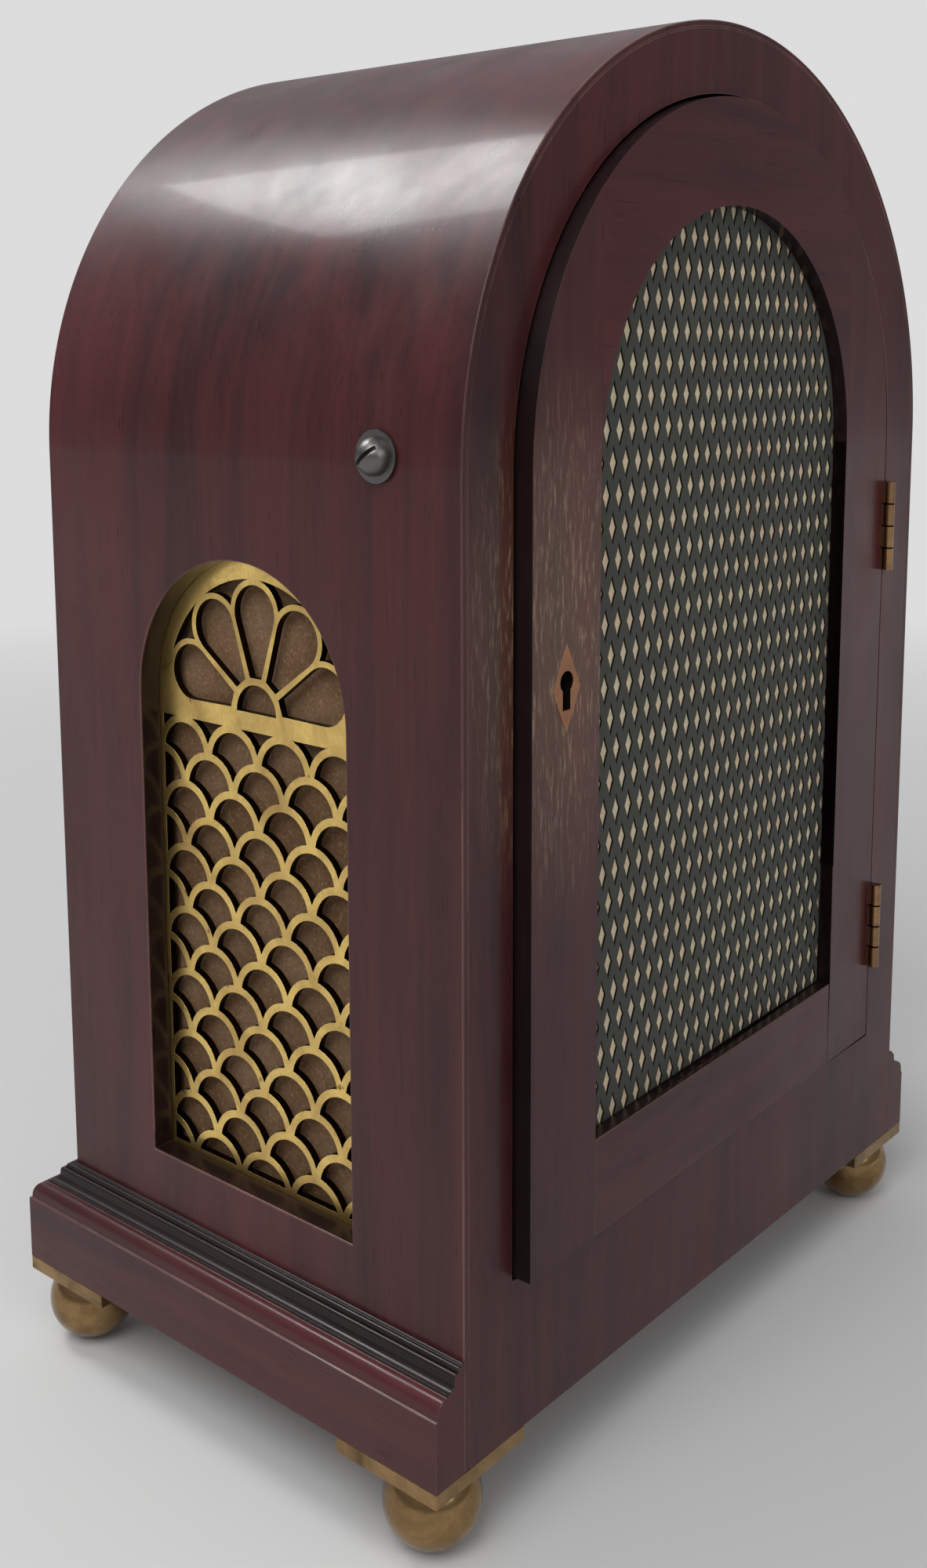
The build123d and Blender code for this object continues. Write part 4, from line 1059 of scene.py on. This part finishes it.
@dataclass
class SideFret:
    """The pierced brass fish-scale fret with its fan, and the silk behind it."""

    case: Case
    thickness: float = 2.4
    pitch: float = 22.0
    row: float = 10.15
    band: float = 2.4
    bar_top: float = 226.6
    bar_height: float = 5.7
    border: float = 1.5
    step: float = math.pi / 5
    rib: float = 1.8
    hub: float = 8.5
    rim: float = 40.0
    petal_foot: float = 10.8
    petal_reach: float = 29.9
    petal_tip: float = 8.5
    petals: int = 5
    seat: float = 3.85
    silk_grow: float = 9.0
    silk_thickness: float = 0.8
    cut: Point = (100.0, 140.0)

    def scale_hole(self, x: float, z: float) -> Solid:
        """Makes the cutter for one scale's opening.

        Args:
            x: The scale's middle.
            z: The height of its circle's middle.

        Returns:
            The cutter.
        """
        inner = self.pitch / 2 - self.band * 0.7
        outer = inner + self.band
        dx, dz = self.pitch / 2, self.row
        d = math.hypot(dx, dz)
        a = (inner**2 - outer**2 + d**2) / (2 * d)
        h = math.sqrt(inner**2 - a**2)
        corner = (a * dx / d + h * dz / d, -a * dz / d + h * dx / d)
        start = math.atan2(corner[1], corner[0])
        points = arc(x, z, inner, start, math.pi - start, 14)
        cusp = math.sqrt(outer**2 - dx**2)
        first = math.atan2(corner[1] + dz, corner[0] - dx)
        last = math.atan2(cusp, -dx)
        right = arc(dx, -dz, outer, first, last, 5)[1:]
        points += [(x - px, z + pz) for px, pz in right]
        points += [(x + px, z + pz) for px, pz in reversed(right[:-1])]
        return slab("scale", points, *self.cut)

    def fan_cutter(self, name: str, outline: Sequence[Point], angle: float) -> Solid:
        """Makes a cutter from an outline drawn along +X, leaned by an angle about the fan's middle.

        Args:
            name: The cutter's name.
            outline: Its points, in millimetres from the fan's middle.
            angle: The lean, in radians.

        Returns:
            The cutter.
        """
        c, s = math.cos(angle), math.sin(angle)
        return slab(name, [(x * c - z * s, self.bar_top + x * s + z * c) for x, z in outline], *self.cut)

    def petal(self) -> list[Point]:
        """Returns one petal's outline along +X: straight sides that open into a round tip."""
        half = self.petal_foot * math.sin(self.step / 2) - self.rib / 2
        lean = math.asin((self.petal_tip - half) / (self.petal_reach - self.petal_foot))
        turn = math.pi / 2 + lean
        tip = arc(self.petal_reach, 0.0, self.petal_tip, -turn, turn, 20)
        return [(self.petal_foot, -half), *tip, (self.petal_foot, half)]

    def spandrel(self) -> list[Point]:
        """Returns the outline of the small opening between two petals and the rim, along +X."""
        ring, rim = self.petal_tip + self.rib, self.rim
        x, z = self.petal_reach * math.cos(self.step / 2), self.petal_reach * math.sin(self.step / 2)
        meet = math.acos((self.petal_reach**2 + rim**2 - ring**2) / (2 * self.petal_reach * rim))
        wide = self.step / 2 - meet
        first = math.atan2(-z, math.sqrt(ring**2 - z**2))
        last = math.atan2(rim * math.sin(wide) - z, rim * math.cos(wide) - x)
        side = arc(x, z, ring, first, last, 6)
        side[0] = (side[0][0], 0.0)
        return [*side, *arc(0.0, 0.0, rim, wide, -wide, 8)[1:-1], *[(px, -pz) for px, pz in reversed(side[1:])]]

    def holes(self) -> Solid:
        """Returns every opening of the fret as one cutter."""
        low, high = self.case.window_bottom, self.bar_top - self.bar_height
        cutters: list[Solid] = []
        for index in range(-1, 15):
            z = high - self.border - self.pitch * 0.42 - index * self.row
            offset = 0.0 if index % 2 else self.pitch / 2
            cutters += [self.scale_hole(offset + i * self.pitch, z) for i in range(-3, 3)]
        grid = merge("scales", cutters)
        edge = self.case.window_half - self.border
        carve(grid, bar("field", (-edge, 90, low + self.border), (edge, 150, high + 0.3)), "INTERSECT")
        fan = [self.fan_cutter("petal", self.petal(), self.step * (i + 0.5)) for i in range(self.petals)]
        fan += [self.fan_cutter("spandrel", self.spandrel(), self.step * i) for i in range(1, self.petals)]
        fan.append(slab("hub", arc(0.0, self.bar_top + 0.3, self.hub, 0.0, math.pi, 16), *self.cut))
        return merge("holes", [grid, *fan])

    def build(self, finishes: Finishes) -> None:
        """Builds both frets and both silks.

        Args:
            finishes: The clock's materials.
        """
        face = self.case.half - self.case.fret_depth
        cutter = self.holes()
        fret = slab("fret", self.case.window(self.seat), face - self.thickness, face)
        carve(fret, cutter)
        ease_edges(fret, 0.28, 2, 50)
        for side in Side:
            only(fret)
            bpy.ops.object.duplicate()
            copy = named(bpy.context.object, f"fret_{side.word}")
            self.case.to_side(copy, side)
            dress(copy, finishes.pierced_brass, "brass", "case", f"side_fret_{side.word}")
            self.silk(side, finishes)
        bpy.data.objects.remove(fret, do_unlink=True)

    def silk(self, side: Side, finishes: Finishes) -> None:
        """Builds one window's silk, stretched over the opening on the inside of the wall.

        Args:
            side: The wall.
            finishes: The clock's materials.
        """
        inner, grow = self.case.half - self.case.wall, self.silk_grow
        cloth = slab(f"silk_{side.word}", self.case.window(grow), inner - self.silk_thickness, inner)
        self.case.to_side(cloth, side)
        dress(cloth, finishes.silk, "brown_silk", "case", f"side_cloth_{side.word}")


@dataclass
class SideBolts:
    """The slotted round-headed bolt on its washer, high on each side."""

    case: Case
    height: float = 305.0
    from_back: float = 28.8
    washer_radius: float = 7.1
    washer_thickness: float = 1.2
    head_radius: float = 5.2
    head_squash: float = 0.96
    slot_width: float = 1.2
    slot_floor: float = 4.0
    slot_turn: float = 40.0
    shank_radius: float = 2.5
    shank_ends: Point = (-15.0, 1.5)

    def build(self, finishes: Finishes) -> None:
        """Builds both bolts and washers.

        Args:
            finishes: The clock's materials.
        """
        y, z, face = self.case.back - self.from_back, self.height, self.case.half
        seat = face + self.washer_thickness
        for side in Side:
            s = side.value
            washer = round_bar(f"washer_{side.word}", self.washer_radius, (s * face, y, z), (s * seat, y, z), 48)
            ease_edges(washer, 0.25)
            dress(washer, finishes.steel, "steel", "case", f"side_washer_{side.word}")
            deselect()
            bpy.ops.mesh.primitive_uv_sphere_add(segments=48, ring_count=32, radius=self.head_radius * MM)
            head = bpy.context.object
            head.scale = (self.head_squash, 1, 1)
            head.location = (s * seat * MM, y * MM, z * MM)
            trim(settle(head), (s * seat * MM, 0, 0), (s, 0, 0), True)
            xs = sorted((s * (face + self.slot_floor), s * (face + self.slot_floor + 5)))
            blade = bar("slot", (xs[0], -10, -self.slot_width / 2), (xs[1], 10, self.slot_width / 2))
            blade.rotation_euler = (math.radians(self.slot_turn), 0, 0)
            blade.location = (0, y * MM, z * MM)
            carve(head, settle(blade))
            ease_edges(head, 0.15, 2, 40)
            ends = [(s * (face + end), y, z) for end in self.shank_ends]
            shank = round_bar("shank", self.shank_radius, *ends, 24)
            bolt = merge(f"bolt_{side.word}", [head, shank])
            dress(bolt, finishes.steel, "steel", "case", f"side_bolt_{side.word}")


# Rear door


@dataclass
class RearDoor:
    """The arched rear door: stiles, rail, head, pierced grille, gold cloth and escutcheon."""

    case: Case
    radius: float = 105.3
    bottom: float = 76.2
    thickness: float = 12.0
    glazing: float = 74.0
    glazing_bottom: float = 106.0
    glazing_depth: float = 5.0
    lip: float = 4.0
    seat: float = 3.85
    joint_height: float = 150.0
    ajar: float = 1.5
    pin_from_edge: float = 0.45
    pin_from_back: float = 2.1
    key_x: float = 90.0
    key_z: float = 243.9
    key_radius: float = 3.0
    key_slot: float = 1.8
    key_drop: float = 7.8
    diamond: Point = (6.4, 12.4)
    diamond_z: float = 242.0
    diamond_thickness: float = 0.15
    sheet: float = 0.6
    cloth_thickness: float = 0.8
    lock_recess: Corners = ((81, -20, 232), (103, -7, 266))
    bolt_way: Corners = ((102, -11.2, 248.7), (120, -7.8, 261.3))
    hinge_recess: Point = (-120, -104.25)
    hole_width: float = 3.9
    hole_height: float = 10.2
    pitch_x: float = 6.42
    pitch_z: float = 9.16
    rows: int = 31
    columns: int = 13
    first_row: float = 2.6

    def swing(self, obj: Solid) -> Solid:
        """Turns a piece made on the closed door to where the door stands ajar.

        Args:
            obj: The piece.

        Returns:
            The turned piece.
        """
        x, y = -self.radius - self.pin_from_edge, self.case.back + self.pin_from_back
        pin = Matrix.Translation((x * MM, y * MM, 0))
        turn = Matrix.Rotation(math.radians(self.ajar), 4, "Z")
        obj.matrix_world = pin @ turn @ pin.inverted() @ obj.matrix_world
        return settle(obj)

    def light(self, grow: float, steps: int = 72) -> list[Point]:
        """Returns the outline of the door's glazed opening, grown on every side."""
        return arch_points(self.glazing + grow, self.glazing_bottom - grow, self.case.spring_z, steps)

    def build(self, finishes: Finishes) -> None:
        """Builds the door.

        Args:
            finishes: The clock's materials.
        """
        self.woodwork(finishes)
        self.grille(finishes)
        self.cloth(finishes)
        self.escutcheon(finishes)

    def woodwork(self, finishes: Finishes) -> None:
        """Builds the four jointed pieces of the door's frame."""
        back, joint, high = self.case.back, self.glazing, self.joint_height
        pieces = {
            "door_hinge_stile": ((-200, -joint, 0, 500), finishes.upright),
            "door_lock_stile": ((joint, 200, 0, 500), finishes.lock_wood),
            "door_bottom_rail": ((-joint, joint, 0, high), finishes.across),
            "door_arch_head": ((-joint, joint, high, 500), finishes.across),
        }
        outline = arch_points(self.radius, self.bottom, self.case.spring_z, FINE)
        for name, ((x0, x1, z0, z1), wood) in pieces.items():
            piece = slab(f"made_{name}", outline, back - self.thickness, back)
            carve(piece, slab("light", self.light(0, FINE), back - 30, back + OVER))
            carve(piece, slab("rebate", self.light(self.lip, FINE), back - 30, back - self.glazing_depth))
            carve(piece, bar("bounds", (x0, back - 60, z0), (x1, back + 60, z1)), "INTERSECT")
            if name == "door_lock_stile":
                for room, corners_of in (("lock_recess", self.lock_recess), ("bolt_way", self.bolt_way)):
                    carve(piece, bar(room, *((x, back + y, z) for x, y, z in corners_of)))
                carve(piece, self.keyhole(back - 20, back + OVER, 0.3))
            if name == "door_hinge_stile":
                left, right = self.hinge_recess
                for z in HINGE_HEIGHTS:
                    recess = bar("recess", (left, back - OVER, z - HINGE_HALF), (right, back + 1, z + HINGE_HALF))
                    carve(piece, recess)
            ease_edges(piece, 0.3, tones=(wood, finishes.edge, finishes.dark))
            # Painted shade: every face but the rear face, the door's edges and rebate, takes the near-black finish.
            stain(piece, lambda v: v.y < (back - 0.4) * MM)
            dress(self.swing(piece), wood, "mahogany", "rear_door", name)

    def keyhole(self, near: float, far: float, grow: float = 0.0) -> Solid:
        """Makes the keyhole's cutter.

        Args:
            near: Its inner end's Y.
            far: Its outer end's Y.
            grow: How much wider than the key's own hole.

        Returns:
            The cutter.
        """
        x, z, r, w = self.key_x, self.key_z, self.key_radius + grow, self.key_slot + grow
        turn = math.asin(w / r)
        points = [(x - w, z - self.key_drop), (x + w, z - self.key_drop)]
        points += arc(x, z, r, turn - math.pi / 2, math.pi * 3 / 2 - turn, 24)
        return slab("keyhole", points, near, far)

    def grille(self, finishes: Finishes) -> None:
        """Builds the pierced sheet with its staggered pointed holes."""
        spring, face = self.case.spring_z, self.case.back - self.glazing_depth
        sheet = slab("pierced_grille", self.light(self.seat), face - self.sheet, face)
        w, h = self.hole_width / 2, self.hole_height / 2
        curve = [(w, 0.0), (w * 0.62, h * 0.3), (w * 0.26, h * 0.64), (0.0, h)]
        half = [*curve, *[(-x, z) for x, z in reversed(curve[:-1])]]
        shape = [*half, *[(x, -z) for x, z in reversed(half[1:-1])]]
        first = slab("hole", shape, face - 6, face + 6)
        holes: list[Solid] = []
        for row in range(self.rows):
            z = self.glazing_bottom + self.first_row + row * self.pitch_z
            for i in range(-self.columns, self.columns + 1):
                x = (i + (0.5 if row % 2 else 0)) * self.pitch_x
                if math.hypot(x, max(0.0, z - spring)) > self.glazing + 1.0:
                    continue
                copy = first.copy()
                copy.data = first.data.copy()
                bpy.context.collection.objects.link(copy)
                copy.location = (x * MM, 0, z * MM)
                holes.append(copy)
        bpy.data.objects.remove(first, do_unlink=True)
        deselect()
        for hole in holes:
            hole.select_set(True)
        bpy.context.view_layer.objects.active = holes[0]
        bpy.ops.object.transform_apply(location=True, rotation=True, scale=True)
        carve(sheet, merge("holes", holes))
        dress(self.swing(sheet), finishes.grille, "grille_paint", "rear_door", "rear_grille")

    def cloth(self, finishes: Finishes) -> None:
        """Builds the gold cloth stretched behind the grille."""
        face = self.case.back - self.glazing_depth - self.sheet
        cloth = slab("gold_backing", self.light(self.seat), face - self.cloth_thickness, face)
        dress(self.swing(cloth), finishes.gold_cloth, "gold_cloth", "rear_door", "door_cloth")

    def escutcheon(self, finishes: Finishes) -> None:
        """Builds the brass diamond with its keyhole."""
        back, x, z = self.case.back, self.key_x, self.diamond_z
        wide, high = self.diamond
        points = [(x + wide, z), (x, z + high), (x - wide, z), (x, z - high)]
        plate = slab("escutcheon", points, back, back + self.diamond_thickness)
        carve(plate, self.keyhole(back - 5, back + OVER))
        ease_edges(plate, 0.05)
        dress(self.swing(plate), finishes.copper, "brass", "rear_door", "door_escutcheon")


# Dial and kept nodes


@dataclass
class Dial:
    """The dial's painted numerals and minute track, on the convex plate."""

    case: Case
    ring: float = 70.0
    track: float = 84.0
    rise: float = 3.0
    radius: float = 96.0
    set_back: float = 3.4
    letter: float = 19.0
    paint: float = 0.04
    narrow: Point = (0.8, 0.68)
    numerals: tuple[str, ...] = ("XII", "I", "II", "III", "IIII", "V", "VI", "VII", "VIII", "IX", "X", "XI")

    def surface(self, distance: float) -> float:
        """Returns the Y of the dial's front at a distance from its middle, in millimetres."""
        curve = (self.radius**2 + self.rise**2) / (2 * self.rise)
        return self.case.front + self.set_back - self.rise + curve - math.sqrt(curve**2 - distance**2)

    def build(self, finishes: Finishes) -> None:
        """Builds the numerals and the track.

        Args:
            finishes: The clock's materials.
        """
        marks = [self.numeral(hour, word) for hour, word in enumerate(self.numerals)]
        y = self.surface(self.track + 1)
        for minute in range(60):
            angle = math.radians(6 * minute)
            length, w = (3.2, 0.35) if minute % 5 else (5.0, 0.9)
            r0, r1 = self.track, self.track + length
            c, s = math.cos(angle), math.sin(angle)
            outline = [(r * s + k * w * c, r * c - k * w * s + self.case.spring_z) for r, k in
                       ((r0, -1), (r0, 1), (r1, 1), (r1, -1))]
            marks.append(slab("minute", outline, y - 0.05, y + 0.12))
        dress(merge("dial_marks", marks), finishes.ink, "dial_paint", "case")

    def numeral(self, hour: int, word: str) -> Solid:
        """Builds one numeral, with its foot towards the dial's middle.

        Args:
            hour: Its hour, with 0 at the top.
            word: Its letters.

        Returns:
            The numeral.
        """
        deselect()
        bpy.ops.object.text_add()
        text = bpy.context.object
        text.data.body = word
        text.data.align_x = text.data.align_y = "CENTER"
        text.data.size = self.letter * MM
        text.data.extrude = self.paint * MM
        text.scale = (self.narrow[len(word) >= 4], 1, 1)
        bpy.ops.object.convert(target="MESH")
        made_text = bpy.context.object
        angle, r = math.radians(30 * hour), self.ring
        lean = Matrix.Rotation(angle, 4, "Y") @ Matrix.Rotation(math.pi / 2, 4, "X")
        y = self.surface(r + 2) - 0.05
        at = Vector((r * math.sin(angle), y, r * math.cos(angle) + self.case.spring_z)) * MM
        made_text.matrix_world = Matrix.Translation(at) @ lean @ Matrix.Diagonal((*text.scale, 1)).to_4x4()
        return settle(made_text)


@dataclass
class KeptNodes:
    """The CAD nodes that show as they are, each with its finish."""

    record: dict

    def build(self, nodes: dict[str, Solid], finishes: Finishes) -> None:
        """Dresses every node that no piece replaces.

        Args:
            nodes: The CAD nodes by name.
            finishes: The clock's materials.
        """
        by_slot = {
            "mahogany": finishes.upright, "carcase_wood": finishes.timber, "brass": finishes.brass,
            "movement_brass": finishes.movement_brass, "steel": finishes.steel, "blued_steel": finishes.blued,
            "dial_paint": finishes.dial, "glass": finishes.glass, "grille_paint": finishes.grille,
            "brown_silk": finishes.silk, "gold_cloth": finishes.gold_cloth,
        }
        slots = {entry["node"]: entry["material_slot"] for entry in self.record["subparts"]}
        for name, node in nodes.items():
            node.data.materials.clear()
            finish = finishes.dull_brass if name.startswith("hinge_") else by_slot[slots[name]]
            node.data.materials.append(finish)


# Studio


@dataclass
class Studio:
    """The pale sweep of paper, the soft lights and the camera."""

    backdrop: tuple[float, float, float, float] = (0.72, 0.72, 0.72, 1.0)
    aim: float = 0.22
    azimuth: float = 129.6785
    elevation: float = 8.3605
    sensor: float = 36.0
    lens: float = 37.325
    shift: Point = (-0.0190, -0.1271)
    stand: Colour = (0.43299, 0.3537, 0.33344)

    def build(self) -> None:
        """Sets up everything round the clock."""
        self.sweep()
        self.lights()
        self.camera()
        bpy.context.scene.view_settings.view_transform = "Standard"

    def sweep(self) -> None:
        """Lays a pale floor that fades into the backdrop away from the clock."""
        bench = NodeBench("pale_paper")
        bench.set(Roughness=0.9, Base_Color=(0.53, 0.53, 0.525, 1))
        glow = bench.nodes.new("ShaderNodeEmission")
        glow.inputs["Color"].default_value = self.backdrop
        mix = bench.nodes.new("ShaderNodeMixShader")
        bench.links.new(bench.fit(bench.distance(bench.place), 0.35, 1.5, 0.0, 1.0), mix.inputs[0])
        bench.links.new(bench.surface.outputs[0], mix.inputs[1])
        bench.links.new(glow.outputs[0], mix.inputs[2])
        bench.links.new(mix.outputs[0], bench.nodes["Material Output"].inputs["Surface"])
        deselect()
        bpy.ops.mesh.primitive_circle_add(vertices=96, radius=6.0, fill_type="NGON", location=(0, 0, -0.0004))
        floor = settle(bpy.context.object)
        floor.name = "studio_floor"
        floor.data.materials.append(bench.material)

    def lights(self) -> None:
        """Hangs three soft boxes in a pale world."""
        world = bpy.data.worlds.new("pale_room")
        bpy.context.scene.world = world
        world.use_nodes = True
        nodes, links = world.node_tree.nodes, world.node_tree.links
        light = nodes["Background"]
        height = nodes.new("ShaderNodeSeparateXYZ")
        links.new(nodes.new("ShaderNodeTexCoord").outputs["Generated"], height.inputs[0])
        sky = nodes.new("ShaderNodeMapRange")
        for name, number in (("From Min", 0.0), ("From Max", 0.7), ("To Min", 0.20), ("To Max", 0.56)):
            sky.inputs[name].default_value = number
        links.new(height.outputs["Z"], sky.inputs["Value"])
        links.new(sky.outputs["Result"], light.inputs["Strength"])
        light.inputs["Color"].default_value = (0.95, 0.96, 1.0, 1)
        shown = nodes.new("ShaderNodeBackground")
        shown.inputs["Color"].default_value = self.backdrop
        path = nodes.new("ShaderNodeLightPath")
        mix = nodes.new("ShaderNodeMixShader")
        links.new(path.outputs["Is Camera Ray"], mix.inputs[0])
        links.new(light.outputs[0], mix.inputs[1])
        links.new(shown.outputs[0], mix.inputs[2])
        links.new(mix.outputs[0], nodes["World Output"].inputs["Surface"])
        for name, size, power, place in (
            ("key_box", 1.0, 17.0, (1.1, 0.3, 1.4)),
            ("fill_box", 1.0, 7.0, (0.5, 1.7, 1.0)),
            ("window_box", 0.4, 7.0, (0.25, -0.75, 1.25)),
        ):
            lamp = bpy.data.lights.new(name, "AREA")
            lamp.size, lamp.energy = size, power
            holder = bpy.data.objects.new(name, lamp)
            bpy.context.collection.objects.link(holder)
            holder.location = place
            towards = Vector((0, 0, self.aim)) - Vector(place)
            holder.rotation_euler = towards.to_track_quat("-Z", "Y").to_euler()

    def camera(self) -> None:
        """Sets the camera where the photograph was taken from."""
        azimuth, elevation = math.radians(self.azimuth), math.radians(self.elevation)
        back = Vector((math.sin(azimuth) * math.cos(elevation), -math.cos(azimuth) * math.cos(elevation),
                       math.sin(elevation)))
        data = bpy.data.cameras.new("photo_camera")
        data.sensor_width, data.lens = self.sensor, self.lens
        data.shift_x, data.shift_y = self.shift
        data.clip_start = 0.01
        camera = bpy.data.objects.new("photo_camera", data)
        bpy.context.collection.objects.link(camera)
        camera.location = self.stand
        camera.rotation_euler = (-back).to_track_quat("-Z", "Y").to_euler()
        bpy.context.scene.camera = camera


def main() -> None:
    """Loads the frame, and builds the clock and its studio."""
    logging.basicConfig(level=logging.INFO, format="%(message)s")
    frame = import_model()
    deselect()
    finishes = Finishes()
    case = Case()
    Studio().build()
    KeptNodes(frame["record"]).build(frame["nodes"], finishes)
    case.build(finishes)
    SideFret(case).build(finishes)
    SideBolts(case).build(finishes)
    RearDoor(case).build(finishes)
    Dial(case).build(finishes)
    deselect()


if __name__ == "__main__":
    main()
